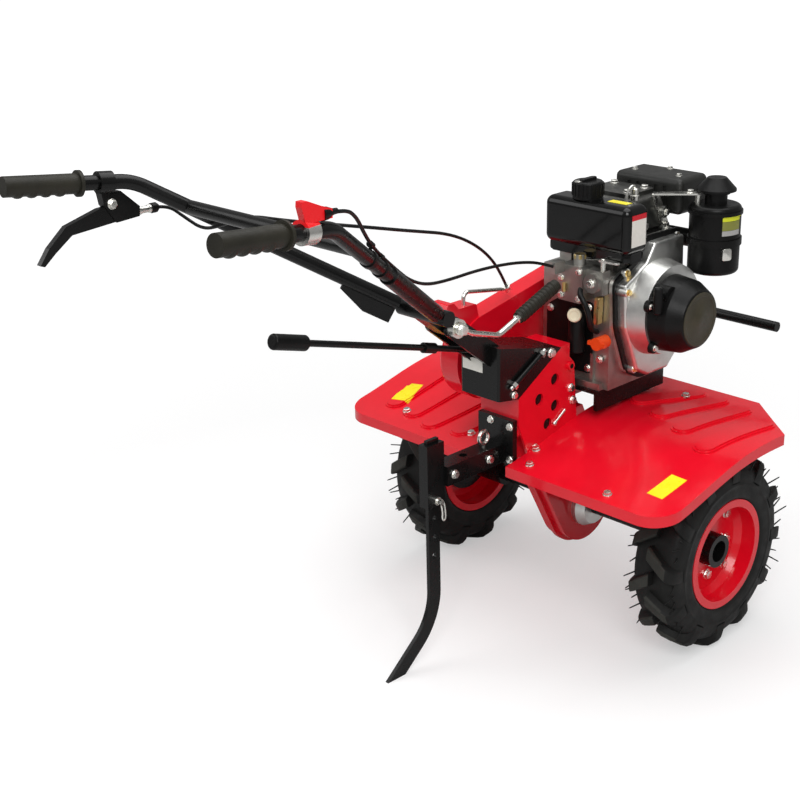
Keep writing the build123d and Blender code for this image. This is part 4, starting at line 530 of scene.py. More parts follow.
RED = paint("red_paint", (0.84, 0.005, 0.020), (0.74, 0.004, 0.016), (0.14, 0.24), 0.35, 0.35)
BLACK = paint("black_paint", (0.006, 0.006, 0.006), (0.003, 0.003, 0.003), (0.22, 0.34), 0.06, 0.25)
MUFFLER = paint("muffler_paint", (0.022, 0.022, 0.020), (0.012, 0.012, 0.011), (0.36, 0.50), 0.0, 0.35, 0.4)
CAST = metal("cast_aluminium", (0.80, 0.80, 0.77), (0.66, 0.66, 0.64), (0.30, 0.44), 900, 0.35)
BLOCK_CAST = metal("block_casting", (0.46, 0.45, 0.42), (0.34, 0.33, 0.31), (0.34, 0.50), 700, 0.45)
DARK_CAST = metal("dark_casting", (0.17, 0.17, 0.16), (0.08, 0.08, 0.075), (0.36, 0.50), 700, 0.45)
ZINC = metal("zinc_plate", (0.90, 0.89, 0.84), (0.76, 0.75, 0.70), (0.20, 0.34), 500, 0.15)
BRASS = metal("yellow_zinc", (0.86, 0.66, 0.30), (0.72, 0.52, 0.20), (0.25, 0.38), 500, 0.2)
TYRE = moulded("tyre_rubber", (0.010, 0.010, 0.009), (0.005, 0.005, 0.005), (0.46, 0.66), 700, 0.35)
TREAD = moulded("tread_rubber", (0.042, 0.042, 0.036), (0.022, 0.022, 0.019), (0.50, 0.70), 500, 0.4)
GRIP = moulded("grip_rubber", (0.026, 0.024, 0.017), (0.016, 0.015, 0.011), (0.38, 0.54), 900, 0.3)
PLASTIC = moulded(
    "black_plastic", (0.008, 0.008, 0.008), (0.004, 0.004, 0.004), (0.26, 0.40), 1100, 0.25, shine=0.18,
)
TANK = moulded(
    "tank_gloss", (0.003, 0.003, 0.003), (0.002, 0.002, 0.002), (0.10, 0.20), 60, 0.06, coat=0.1, shine=0.3,
)
DISC = moulded("recoil_disc", (0.060, 0.053, 0.033), (0.036, 0.032, 0.020), (0.30, 0.44), 300, 0.2)
ORANGE = moulded("orange_plastic", (0.88, 0.09, 0.012), (0.76, 0.06, 0.01), (0.25, 0.4), 900, 0.2)
RED_PLASTIC = moulded("red_plastic", (0.86, 0.010, 0.015), (0.74, 0.008, 0.012), (0.22, 0.36), 900, 0.2)
SHEATH = moulded("cable_sheath", (0.006, 0.006, 0.006), (0.004, 0.004, 0.004), (0.30, 0.45), 800, 0.2)
CREAM = moulded("cream_plastic", (0.80, 0.72, 0.54), (0.68, 0.58, 0.40), (0.25, 0.40), 700, 0.2)
YELLOW_LABEL = sticker("yellow_sticker", (0.96, 0.84, 0.02), (0.90, 0.76, 0.01))
LIME_LABEL = sticker("lime_sticker", (0.76, 0.82, 0.04), (0.68, 0.74, 0.03))
OLIVE_LABEL = sticker("olive_sticker", (0.30, 0.31, 0.08), (0.22, 0.23, 0.05))
WHITE_LABEL = sticker("white_sticker", (0.82, 0.80, 0.74), (0.74, 0.72, 0.66))
GREY_LABEL = sticker("grey_sticker", (0.46, 0.46, 0.45), (0.38, 0.38, 0.37))
RED_LABEL = sticker("red_sticker", (0.66, 0.015, 0.03), (0.56, 0.012, 0.02))
THROTTLE = throttle_material()

SLOT_MATERIALS = {
    "red_paint": RED,
    "black_paint": BLACK,
    "cast_aluminium": CAST,
    "zinc": ZINC,
    "tyre_rubber": TYRE,
    "grip_rubber": GRIP,
    "black_plastic": PLASTIC,
    "tank_plastic": TANK,
    "orange_plastic": ORANGE,
    "red_plastic": RED_PLASTIC,
    "cable_sheath": SHEATH,
}
NODE_MATERIALS = {
    "muffler": MUFFLER,
    "engine_block": BLOCK_CAST,
    "injection_pump": BLOCK_CAST,
    "cylinder_head": DARK_CAST,
    "throttle_control": THROTTLE,
}

for row in frame["record"]["subparts"]:
    finish = NODE_MATERIALS.get(row["node"], SLOT_MATERIALS[row["material_slot"]])
    NODES[row["node"]].data.materials.clear()
    NODES[row["node"]].data.materials.append(finish)


# Mesh work


def join(work, first, second):
    """Faces between two rings of points; a ring of one point is a tip."""
    count = max(len(first), len(second))
    for k in range(count):
        after = (k + 1) % count
        if len(first) == 1:
            work.faces.new((first[0], second[after], second[k]))
        elif len(second) == 1:
            work.faces.new((first[k], first[after], second[0]))
        else:
            work.faces.new((first[k], first[after], second[after], second[k]))


def ring(work, middle, across, over, radius, sides):
    """A circle of points, or its middle alone where the radius is nothing."""
    if radius == 0:
        return [work.verts.new(middle)]
    turns = [2 * math.pi * k / sides for k in range(sides)]
    ways = [across * math.cos(turn) + over * math.sin(turn) for turn in turns]
    return [work.verts.new(middle + way * radius * MM) for way in ways]


def lathe(work, centre, axis, profile, sides=24, hoop=False):
    """A turned form. A hoop's profile closes on itself."""
    axis = axis.normalized()
    across = axis.orthogonal().normalized()
    over = axis.cross(across)
    rings = []
    for along, radius in profile:
        rings.append(ring(work, centre + axis * along * MM, across, over, radius, sides))
    for first, second in zip(rings, rings[1:]):
        join(work, first, second)
    if hoop:
        join(work, rings[-1], rings[0])


def cap_ends(work, rings):
    """Faces that close the first and the last ring."""
    work.faces.new(list(reversed(rings[0])))
    work.faces.new(rings[-1])


def tube(work, line, radius, sides=12):
    """A round rod along a line, closed at both ends, with a frame that doesn't twist."""
    across = (line[1] - line[0]).orthogonal().normalized()
    rings = []
    for k, place in enumerate(line):
        ahead = (line[min(k + 1, len(line) - 1)] - line[max(k - 1, 0)]).normalized()
        across = (across - ahead * across.dot(ahead)).normalized()
        rings.append(ring(work, place, across, ahead.cross(across), radius, sides))
    for first, second in zip(rings, rings[1:]):
        join(work, first, second)
    cap_ends(work, rings)


def slab(work, loop, depth, bevel=0.0):
    """A flat outline given a depth, with its edges eased."""
    low = [work.verts.new(place) for place in loop]
    high = [work.verts.new(place + depth) for place in loop]
    faces = [work.faces.new(list(reversed(low))), work.faces.new(high)]
    for k, vertex in enumerate(low):
        after = (k + 1) % len(low)
        faces.append(work.faces.new((vertex, low[after], high[after], high[k])))
    if bevel:
        edges = list(dict.fromkeys(edge for face in faces for edge in face.edges))
        bmesh.ops.bevel(work, geom=edges, offset=bevel * MM, segments=2, profile=0.5, affect="EDGES")


def rounded(places, reach, steps=4):
    """A closed outline with round corners; reach is how far from a corner its curve starts."""
    outline = []
    for k, corner in enumerate(places):
        ahead = places[(k + 1) % len(places)]
        start = corner + (places[k - 1] - corner).normalized() * reach * MM
        end = corner + (ahead - corner).normalized() * reach * MM
        for step in range(steps + 1):
            share = step / steps
            outline.append(start * (1 - share) ** 2 + corner * 2 * share * (1 - share) + end * share**2)
    return outline


# A bolt's washer and head, as shares of its thread's diameter
WASHER = ((-0.3, 0), (-0.3, 1.15), (0.14, 1.15), (0.2, 1.08), (0.2, 0))
BOLT_HEAD = ((0.1, 0), (0.1, 0.94), (0.72, 0.94), (0.82, 0.80), (0.85, 0))


def bolt(work, place, axis, size):
    """A hexagon head on its washer; size is the thread's diameter."""
    for profile, sides in ((WASHER, 16), (BOLT_HEAD, 6)):
        lathe(work, place, axis, [(along * size, radius * size) for along, radius in profile], sides)


def shape(name, work, material, sharp):
    """Makes the work an object, with edges sharper than so many degrees left hard."""
    bmesh.ops.recalc_face_normals(work, faces=work.faces)
    mesh = bpy.data.meshes.new(name)
    work.to_mesh(mesh)
    work.free()
    mesh.polygons.foreach_set("use_smooth", [True] * len(mesh.polygons))
    mesh.set_sharp_from_angle(angle=math.radians(sharp))
    mesh.materials.append(material)
    made = bpy.data.objects.new(name, mesh)
    bpy.context.scene.collection.objects.link(made)
    return made


def piece(name, work, material, body="chassis", sharp=35.0):
    """Makes the work an object that rides on a body."""
    made = shape(name, work, material, sharp)
    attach(made, body)
    return made


TREES = {}


def seat(node, start, toward):
    """Where a line first meets a node, and the way its face looks there."""
    if node not in TREES:
        mesh = NODES[node].data
        places = [vertex.co for vertex in mesh.vertices]
        TREES[node] = BVHTree.FromPolygons(places, [tuple(face.vertices) for face in mesh.polygons])
    place, normal, _, _ = TREES[node].ray_cast(start, toward)
    return place, normal if normal.dot(toward) < 0 else -normal


def label(name, node, middle, along, across, toward, size, material):
    """A blank sticker laid on a node, its points dropped onto the surface along a line."""
    work = bmesh.new()
    length, width = size
    lift = LABEL_LIFT * MM
    top, foot = [], []
    shares = [step / LABEL_STEPS - 0.5 for step in range(LABEL_STEPS + 1)]
    for i in shares:
        starts = [middle + (along * i * length + across * j * width) * MM for j in shares]
        hits = [seat(node, start, toward) for start in starts]
        top.append([work.verts.new(place + normal * lift) for place, normal in hits])
        foot.append([place - normal * lift for place, normal in hits])
    for i in range(LABEL_STEPS):
        for j in range(LABEL_STEPS):
            work.faces.new((top[i][j], top[i + 1][j], top[i + 1][j + 1], top[i][j + 1]))
    last = LABEL_STEPS
    border = [(k, 0) for k in range(last)] + [(last, k) for k in range(last)]
    border += [(last - k, last) for k in range(last)] + [(0, last - k) for k in range(last)]
    join(work, [top[i][j] for i, j in border], [work.verts.new(foot[i][j]) for i, j in border])
    piece(name, work, material)


def smooth_line(name, route):
    """The points of a smooth line drawn from a route."""
    curve = bpy.data.curves.new(name, "CURVE")
    curve.dimensions = "3D"
    curve.resolution_u = 10
    spline = curve.splines.new("NURBS")
    spline.points.add(len(route) - 1)
    for point, place in zip(spline.points, route):
        point.co = (*at(*place), 1.0)
    spline.order_u = 3
    spline.use_endpoint_u = True
    holder = bpy.data.objects.new(name, curve)
    bpy.context.scene.collection.objects.link(holder)
    bpy.context.view_layer.update()
    drawn = bpy.data.meshes.new_from_object(holder)
    line = [vertex.co.copy() for vertex in drawn.vertices]
    bpy.data.objects.remove(holder)
    bpy.data.curves.remove(curve)
    bpy.data.meshes.remove(drawn)
    return line


# Wheels


def lug(work, hub, side, row, turn):
    """One slanted lug, drawn through its stations from the middle of the tread to the sidewall."""
    rings = []
    for reach, top, root in LUG_STATIONS:
        flank = [(LUG_TOP_HALF + wider, top - lower) for wider, lower in LUG_FLANK]
        flank.append((LUG_BASE_HALF, root))
        section = [(-offset, radius) for offset, radius in reversed(flank)] + flank
        place = hub - LEFT * side * row * reach * MM
        points = []
        for offset, radius in section:
            angle = turn - (LUG_SLANT * reach / TYRE_HALF_WIDTH + offset) / LUG_TURN_RADIUS
            outward = Vector((math.sin(angle), 0, math.cos(angle)))
            points.append(work.verts.new(place + outward * max(radius, root) * MM))
        rings.append(points)
    for first, second in zip(rings, rings[1:]):
        join(work, first, second)
    cap_ends(work, rings)


def build_tyre(word, side):
    """A tyre with a rounded carcass, a bead ridge on the sidewall and two rows of slanted lugs."""
    work = bmesh.new()
    hub = at(0, side * HALF_TRACK, AXLE_HEIGHT)
    mirrored = [(-along, radius) for along, radius in reversed(CARCASS_HALF)]
    lathe(work, hub, LEFT, list(CARCASS_HALF) + mirrored, TYRE_SIDES, hoop=True)
    for row, stagger in LUG_ROWS:
        for k in range(LUG_COUNT):
            lug(work, hub, side, row, math.pi + 2 * math.pi * (k + stagger) / LUG_COUNT)
    made = piece(f"{word}_tyre_tread", work, TYRE, f"wheel_{word}")
    made.data.materials.append(TREAD)
    for face in made.data.polygons:
        spoke = face.center - hub
        if math.hypot(spoke.x, spoke.z) > TREAD_FROM * MM:
            face.material_index = 1
    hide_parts(f"tyre_{word}")


def build_tyre_hairs(word, side):
    """Moulding hairs on the lugs' tips and between them, left out where the tyre stands on the floor."""
    work = bmesh.new()
    hub = at(0, side * HALF_TRACK, AXLE_HEIGHT)
    for k in range(HAIR_COUNT):
        turn = 2 * math.pi * (k + HAIR_STRAY * math.sin(5 * k)) / HAIR_COUNT
        if math.cos(turn) < HAIR_FLOOR:
            continue
        outward = Vector((math.sin(turn), 0, math.cos(turn)))
        splay = HAIR_SPLAY + HAIR_SPLAY_SWING * math.sin(3 * k)
        sway = outward.cross(LEFT) * HAIR_STRAY * math.sin(7 * k)
        length = HAIR_LENGTH + HAIR_LENGTH_SWING * math.sin(11 * k)
        hair = ((0, 0), (0, HAIR_RADII[0]), (length - HAIR_TIP, HAIR_RADII[1]), (length, 0))
        for way in (1, -1):
            root = hub + LEFT * way * HAIR_ACROSS * MM + outward * HAIR_ROOT * MM
            lathe(work, root, outward + LEFT * way * splay + sway, hair, 6)
    piece(f"{word}_tyre_hairs", work, TYRE, f"wheel_{word}")


def build_wheel_bolts(word, side):
    """Hub bolts, the bolts that hold the rim's halves, and the valve."""
    work = bmesh.new()
    for k in range(WHEEL_BOLT_COUNT):
        for circle, first, size in WHEEL_BOLTS:
            turn = first + 2 * math.pi * k / WHEEL_BOLT_COUNT
            x = circle * math.sin(turn)
            z = AXLE_HEIGHT + circle * math.cos(turn)
            bolt(work, at(x, side * RIM_FACE_Y, z), LEFT * side, size)
    piece(f"{word}_wheel_bolts", work, ZINC, f"wheel_{word}")
    work = bmesh.new()
    tilt = (LEFT * side + VALVE_TILT).normalized()
    foot = at(VALVE_X, side * (RIM_FACE_Y + VALVE_OUT), AXLE_HEIGHT + VALVE_RISE)
    lathe(work, foot, tilt, VALVE_STEM, 14)
    piece(f"{word}_valve", work, PLASTIC, f"wheel_{word}")


for word, side in SIDES:
    build_tyre(word, side)
    build_tyre_hairs(word, side)
    build_wheel_bolts(word, side)


# Fenders


def build_fender_bolts(node, places):
    """Bolts through the top of a fender, square to its surface."""
    work = bmesh.new()
    for x, y in places:
        place, normal = seat(node, at(x, y, FENDER_ABOVE_Z), -UP)
        bolt(work, place, normal, FENDER_BOLT)
    piece(f"{node}_bolts", work, ZINC)


for node, places in FENDER_BOLTS.items():
    build_fender_bolts(node, places)
for name, node, middle, way, size in FENDER_LABELS:
    along = Vector((*way, 0))
    label(name, node, at(*middle, FENDER_ABOVE_Z), along, UP.cross(along), -UP, size, YELLOW_LABEL)


# Frame plates, bracket and hitch


def build_plate_fittings(word, side):
    """Black discs of painted shade in the plate's holes and in the boss's mouth, and the plate's bolts."""
    work = bmesh.new()
    for x, z in PLATE_HOLES:
        lathe(work, at(x, side * PLATE_INNER_Y, z), LEFT * side, PLATE_HOLE_SHADE, 32)
    x, y, z = PLATE_BOSS
    lathe(work, at(x, side * y, z), LEFT * side, PLATE_BOSS_SHADE, 20)
    # These black discs are painted shade in the openings
    piece(f"{word}_plate_hole_shade", work, PLASTIC)
    work = bmesh.new()
    for x, z, size in PLATE_BOLTS:
        bolt(work, at(x, side * PLATE_FACE_Y, z), LEFT * side, size)
    piece(f"{word}_plate_bolts", work, ZINC)


def build_plate_pins():
    """A bright pin on the right plate, and a black tie rod with bright nuts on the bracket's side."""
    work = bmesh.new()
    start, end = (at(*place) for place in PLATE_PIN_ENDS)
    tube(work, [start, end], PLATE_PIN_RADIUS)
    lathe(work, start, start - end, PLATE_PIN_HEAD, 16)
    piece("plate_pin", work, ZINC)
    work = bmesh.new()
    start, end = (at(*place) for place in TIE_ROD_ENDS)
    tube(work, [start, end], TIE_ROD_RADIUS, 16)
    piece("bracket_tie_rod", work, BLACK)
    work = bmesh.new()
    for place, axis in ((start, start - end), (end, end - start)):
        lathe(work, place, axis, TIE_ROD_NUT, 6)
        lathe(work, place, axis, TIE_ROD_TIP, 14)
    piece("bracket_tie_nuts", work, ZINC)


def build_hitch_bolts():
    """Bolts of the hitch plate and drawbar, and the spring clip of the stake pin."""
    work = bmesh.new()
    for y, z in HITCH_PLATE_BOLTS:
        bolt(work, at(HITCH_FACE_X, y, z), -AHEAD, HITCH_PLATE_BOLT)
    for side in (1, -1):
        for x, z in DRAWBAR_BOLTS:
            bolt(work, at(x, side * DRAWBAR_HALF_WIDTH, z), LEFT * side, DRAWBAR_BOLT)
    piece("hitch_bolts", work, ZINC)
    work = bmesh.new()
    tube(work, smooth_line("clip", STAKE_CLIP), STAKE_CLIP_RADIUS, 8)
    piece("stake_pin_clip", work, ZINC)


for word, side in SIDES:
    build_plate_fittings(word, side)
build_plate_pins()
build_hitch_bolts()
label(
    "bracket_label", "handle_bracket", at(*BRACKET_LABEL), LEFT, UP, AHEAD, BRACKET_LABEL_SIZE, WHITE_LABEL,
)


# Engine


def build_shroud_trim():
    """The dark seal behind the fan shroud, its bolts on bosses and the ridge on its face."""
    work = bmesh.new()
    grown = []
    for x, z in SHROUD_OUTLINE:
        way = (Vector((x, 0, z)) - SHROUD_MIDDLE).normalized()
        grown.append(at(x + way.x * SEAL_GROWTH, SEAL_Y, z + way.z * SEAL_GROWTH))
    slab(work, rounded(grown, SHROUD_CORNER), -LEFT * SEAL_DEPTH * MM)
    piece("shroud_seal", work, PLASTIC)
    work = bmesh.new()
    for x, z, tall in SHROUD_BOLTS:
        boss = ((-2, 0), (-2, 10), (tall - 1, 9.4), (tall, 8.6), (tall, 0))
        lathe(work, at(x, FLANGE_FACE_Y, z), -LEFT, boss, 20)
    ridge = [at(x, SCROLL_FACE_Y + SHROUD_RIDGE_SUNK, z) for x, z in SHROUD_RIDGE]
    slab(work, ridge, -LEFT * SHROUD_RIDGE_DEPTH * MM, SHROUD_RIDGE_EASE)
    piece("shroud_bosses", work, CAST)
    work = bmesh.new()
    for x, z, tall in SHROUD_BOLTS:
        bolt(work, at(x, FLANGE_FACE_Y - tall, z), -LEFT, SHROUD_BOLT)
    piece("shroud_bolts", work, BRASS)


def build_recoil_trim():
    """The recoil starter's blank face, its ears and screws, and the pull handle at the rope guide."""
    crank = at(CRANK[0], 0, CRANK[1])
    work = bmesh.new()
    lathe(work, crank + LEFT * RECOIL_END_Y * MM, -LEFT, RECOIL_FACE, 64)
    piece("recoil_face", work, DISC)
    ears = bmesh.new()
    screws = bmesh.new()
    for degrees in RECOIL_EAR_TURNS:
        turn = math.radians(degrees)
        place = crank + LEFT * CONE_FACE_Y * MM
        place += (AHEAD * math.cos(turn) + UP * math.sin(turn)) * RECOIL_EAR_CIRCLE * MM
        lathe(ears, place, -LEFT, RECOIL_EAR, 20)
        bolt(screws, place - LEFT * RECOIL_EAR_HEIGHT * MM, -LEFT, RECOIL_SCREW)
    piece("recoil_ears", ears, PLASTIC)
    piece("recoil_screws", screws, ZINC)
    work = bmesh.new()
    lathe(work, at(*RECOIL_HANDLE), UP, RECOIL_GRIP, 20)
    tube(work, [at(*place) for place in RECOIL_ROPE_ENDS], RECOIL_ROPE_RADIUS)
    piece("recoil_handle", work, PLASTIC)


def build_tank_trim():
    """The cradle under the tank, and the fuel cap's ribs and tab."""
    work = bmesh.new()
    cradle = [at(x, y, CRADLE_LOW_Z) for x, y in CRADLE]
    slab(work, rounded(cradle, CRADLE_CORNER), UP * CRADLE_HEIGHT * MM, CRADLE_EASE)
    piece("tank_cradle", work, TANK)
    work = bmesh.new()
    cap = at(*CAP_MIDDLE, 0)
    for k in range(CAP_RIB_COUNT):
        turn = 2 * math.pi * k / CAP_RIB_COUNT
        foot = cap + Vector((math.cos(turn), math.sin(turn), 0)) * CAP_RIB_CIRCLE * MM
        tube(work, [foot + UP * z * MM for z in (CAP_RIB_LOW_Z, CAP_RIB_HIGH_Z)], CAP_RIB_RADIUS, 8)
    bar = [at(CAP_MIDDLE[0] + x, CAP_MIDDLE[1] + y, CAP_TOP_Z) for x, y in CAP_BAR]
    slab(work, rounded(bar, CAP_BAR_CORNER), UP * CAP_BAR_HEIGHT * MM, CAP_BAR_EASE)
    piece("fuel_cap_ribs", work, PLASTIC)
    work = bmesh.new()
    tab = [at(x, y, CAP_TAB_Z) for x, y in CAP_TAB]
    slab(work, rounded(tab, CAP_TAB_CORNER), UP * CAP_TAB_HEIGHT * MM, CAP_TAB_EASE)
    piece("fuel_cap_tab", work, ZINC)


build_shroud_trim()
build_recoil_trim()
build_tank_trim()
label("tank_label", "fuel_tank", at(*TANK_LABEL), AHEAD, UP, LEFT, TANK_LABEL_SIZE, WHITE_LABEL)
label("tank_label_band", "fuel_tank", at(*TANK_BAND), AHEAD, UP, LEFT, TANK_BAND_SIZE, RED_LABEL)
label(
    "tank_top_label", "fuel_tank", at(*TANK_TOP_LABEL), LEFT, AHEAD, -UP, TANK_TOP_LABEL_SIZE, YELLOW_LABEL,
)


def build_head_trim():
    """Rocker cover, its nuts, the injector and its pipe, and the head's bosses."""
    work = bmesh.new()
    cover = [at(x, y, ROCKER_LOW_Z) for x, y in ROCKER_COVER]
    slab(work, rounded(cover, ROCKER_CORNER), UP * ROCKER_HEIGHT * MM, ROCKER_EASE)
    for x, z in HEAD_BOSSES:
        lathe(work, at(x, HEAD_SIDE_Y, z), -LEFT, HEAD_BOSS, 24)
    piece("rocker_cover", work, DARK_CAST, sharp=30.0)
    work = bmesh.new()
    for x, y in ROCKER_NUTS:
        bolt(work, at(x, y, ROCKER_LOW_Z + ROCKER_HEIGHT), UP, ROCKER_NUT)
    for x, z in HEAD_BOSSES:
        bolt(work, at(x, HEAD_SIDE_Y - HEAD_BOSS_HEIGHT, z), -LEFT, HEAD_BOSS_BOLT)
    lathe(work, at(*INJECTOR_PLACE), UP, INJECTOR, 18)
    piece("head_nuts", work, ZINC)
    work = bmesh.new()
    tube(work, smooth_line("pipe", INJECTION_PIPE), INJECTION_PIPE_RADIUS, 10)
    piece("injection_pipe", work, ZINC)


def build_cleaner_bracket():
    """The strap that holds the air cleaner to the head, with its bolts and the cleaner's spring clips."""
    work = bmesh.new()
    leg = [at(x, STRAP_LEG_Y, z) for x, z in STRAP_LEG]
    slab(work, rounded(leg, STRAP_CORNER), -LEFT * STRAP_THICKNESS * MM, STRAP_EASE)
    arm = [at(x, y, STRAP_ARM_Z) for x, y in STRAP_ARM]
    slab(work, rounded(arm, STRAP_CORNER), UP * STRAP_THICKNESS * MM, STRAP_EASE)
    piece("cleaner_bracket", work, ZINC)
    work = bmesh.new()
    bolt(work, at(*STRAP_ARM_BOLT), UP, STRAP_BOLT)
    bolt(work, at(*STRAP_LEG_BOLT), -LEFT, STRAP_BOLT)
    lathe(work, at(*STRAP_POST_PLACE), UP, STRAP_POST, 14)
    middle = at(*CLEANER, 0)
    for degrees in CLEANER_CLIP_TURNS:
        turn = math.radians(degrees)
        way = Vector((math.cos(turn), math.sin(turn), 0))
        over = UP.cross(way)
        foot = middle + way * (CLEANER_RADIUS - CLEANER_CLIP_SUNK) * MM
        loop = [foot + over * a * MM + UP * z * MM for a, z in CLEANER_CLIP]
        slab(work, rounded(loop, CLEANER_CLIP_CORNER), way * CLEANER_CLIP_DEPTH * MM, CLEANER_CLIP_EASE)
    piece("cleaner_clips", work, ZINC)


build_head_trim()
build_cleaner_bracket()
for (word, height, tall), finish in zip(CLEANER_LABEL_BANDS, (LIME_LABEL, OLIVE_LABEL, GREY_LABEL)):
    start = at(*CLEANER, height) + CLEANER_LABEL_WAY * CLEANER_LABEL_START * MM
    label(
        f"cleaner_label_{word}", "air_cleaner", start, UP.cross(CLEANER_LABEL_WAY), UP, -CLEANER_LABEL_WAY,
        (CLEANER_LABEL_WIDTH, tall), finish,
    )


def build_pump_bolts():
    """Bolts of the injection pump, governor and block, and the governor's lever on its post."""
    work = bmesh.new()
    for y, z in PUMP_BOLTS:
        bolt(work, at(PUMP_FACE_X, y, z), -AHEAD, PUMP_BOLT)
    bolt(work, at(*GOVERNOR_BOLT_PLACE), -AHEAD, GOVERNOR_BOLT)
    lathe(work, at(*LEVER_POST_PLACE), UP, LEVER_POST, 14)
    lever = [at(x, y, PUMP_LEVER_Z) for x, y in PUMP_LEVER]
    slab(work, rounded(lever, PUMP_LEVER_CORNER), UP * PUMP_LEVER_HEIGHT * MM, PUMP_LEVER_EASE)
    for y, z in BLOCK_BOLTS:
        bolt(work, at(BLOCK_REAR_X + BLOCK_COVER_SUNK - BLOCK_COVER_DEPTH, y, z), -AHEAD, BLOCK_BOLT)
    piece("pump_bolts", work, ZINC)


def build_pump_trim():
    """The pump's union, strap and spring, its hose, the strainer's cap and the block's dark cover."""
    work = bmesh.new()
    lathe(work, at(*UNION_PLACE), UP, UNION_NUT, 6)
    strap = [at(PUMP_STRAP_X, y, z) for y, z in PUMP_STRAP]
    slab(work, rounded(strap, PUMP_STRAP_CORNER), -AHEAD * PUMP_STRAP_DEPTH * MM, PUMP_STRAP_EASE)
    x, y, z = SPRING_LOW
    for turn in range(SPRING_TURNS):
        lathe(work, at(x, y, z + turn * SPRING_PITCH), UP, SPRING_WIRE, 14, hoop=True)
    piece("pump_union", work, BRASS)
    work = bmesh.new()
    tube(work, smooth_line("hose", FUEL_HOSE), FUEL_HOSE_RADIUS, 12)
    piece("fuel_hose", work, SHEATH)
    work = bmesh.new()
    lathe(work, at(*STRAINER_PLACE), STRAINER_WAY, STRAINER_CAP, 28)
    piece("strainer_cap", work, CREAM)
    work = bmesh.new()
    cover = [at(BLOCK_REAR_X + BLOCK_COVER_SUNK, y, z) for y, z in BLOCK_COVER]
    slab(work, rounded(cover, BLOCK_COVER_CORNER), -AHEAD * BLOCK_COVER_DEPTH * MM, BLOCK_COVER_EASE)
    piece("block_cover", work, PLASTIC)


def build_muffler_screws():
    """Screws on the muffler's top."""
    work = bmesh.new()
    for x, y in MUFFLER_SCREWS:
        place, normal = seat("muffler", at(x, y, MUFFLER_ABOVE_Z), -UP)
        bolt(work, place, normal, MUFFLER_SCREW)
    piece("muffler_screws", work, ZINC)


def build_belt_cover_bolts():
    """Bolts round the belt cover's outer face."""
    work = bmesh.new()
    for x, z in BELT_COVER_BOLTS:
        place, normal = seat("belt_cover", at(x, BELT_COVER_BESIDE_Y, z), -LEFT)
        bolt(work, place, normal, BELT_COVER_BOLT)
    piece("belt_cover_bolts", work, ZINC)


build_pump_bolts()
build_pump_trim()
build_muffler_screws()
build_belt_cover_bolts()


# Handle


def build_grip_fingers(word, side):
    """Finger bumps under a hand grip."""
    bend = at(TUBE_BEND[0], side * TUBE_BEND[1], TUBE_BEND[2])
    end = at(TUBE_END[0], side * TUBE_END[1], TUBE_END[2])
    run = (end - bend).normalized()
    work = bmesh.new()
    for k in range(FINGER_COUNT):
        along = FINGER_FIRST + k * FINGER_PITCH
        lathe(work, end + run * along * MM - UP * FINGER_DROP * MM, run, FINGER_WAVE, 28)
    piece(f"{word}_grip_fingers", work, GRIP, "handlebar")


def build_clamp_rings():
    """Moulded rings along the clamp lever's grip, its end nut and the pivot's bolt heads."""
    low, high = (at(*place) for place in CLAMP_GRIP_ENDS)
    work = bmesh.new()
    for k in range(CLAMP_RING_COUNT):
        start = CLAMP_RING_FIRST + k * CLAMP_RING_PITCH
        profile = [(start + along, radius) for along, radius in CLAMP_RING]
        lathe(work, low, high - low, profile, 20, hoop=True)
    piece("clamp_grip_rings", work, GRIP)
    work = bmesh.new()
    lathe(work, low, low - high, CLAMP_NUT, 6)
    bolt(work, at(*PIVOT_RIGHT), -LEFT, PIVOT_BOLT)
    bolt(work, at(*PIVOT_LEFT), LEFT, PIVOT_BOLT)
    piece("clamp_nuts", work, ZINC)


def build_cable_clips():
    """Clips that hold the throttle cable on the right tube."""
    base = at(TUBE_BASE[0], -TUBE_BASE[1], TUBE_BASE[2])
    bend = at(TUBE_BEND[0], -TUBE_BEND[1], TUBE_BEND[2])
    run = (bend - base).normalized()
    work = bmesh.new()
    for share, cable_place in CABLE_CLIPS:
        middle = base.lerp(bend, share)
        held = at(*cable_place)
        lathe(work, middle, run, TUBE_CLIP, 28, hoop=True)
        lathe(work, held, run, CABLE_CLIP, 18, hoop=True)
        web = (held - middle).normalized()
        start = middle + web * (TUBE_CLIP_RADIUS + CLIP_WEB_START) * MM
        tube(work, [start, held - web * CLIP_WEB_END * MM], CLIP_WEB_RADIUS, 10)
    piece("cable_clips", work, PLASTIC, "handlebar")


def build_cable_ends():
    """The clutch cable's adjuster with the lever's bolt, and the knob and boot where the cables start."""
    clutch_end = at(*CLUTCH_CABLE_END)
    work = bmesh.new()
    lathe(work, clutch_end, AHEAD, CLUTCH_SLEEVE, 18, hoop=True)
    bolt(work, at(*CLUTCH_PIVOT_RIGHT), -LEFT, CLUTCH_PIVOT)
    bolt(work, at(*CLUTCH_PIVOT_LEFT), LEFT, CLUTCH_PIVOT)
    piece("clutch_adjuster", work, ZINC, "handlebar")
    work = bmesh.new()
    lathe(work, clutch_end, AHEAD, CLUTCH_KNOB, 18, hoop=True)
    lathe(work, at(*THROTTLE_CABLE_END), AHEAD, THROTTLE_BOOT, 24, hoop=True)
    piece("throttle_boot", work, PLASTIC, "handlebar")


for word, side in SIDES:
    build_grip_fingers(word, side)
build_clamp_rings()
build_cable_clips()
build_cable_ends()


# Cables


def cable(name, route, node):
    """A cable's sheath along a smooth line through its route, drawn in place of the solid's tube."""
    line = smooth_line(name, route)
    work = bmesh.new()
    tube(work, line, CABLE_DIAMETER / 2)
    made = shape(name, work, SHEATH, sharp=180.0)
    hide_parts(node)
    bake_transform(made)


cable("clutch_cable_sheath", CLUTCH_ROUTE, "clutch_cable")
cable("throttle_cable_sheath", THROTTLE_ROUTE, "throttle_cable")


# Floor, light and camera


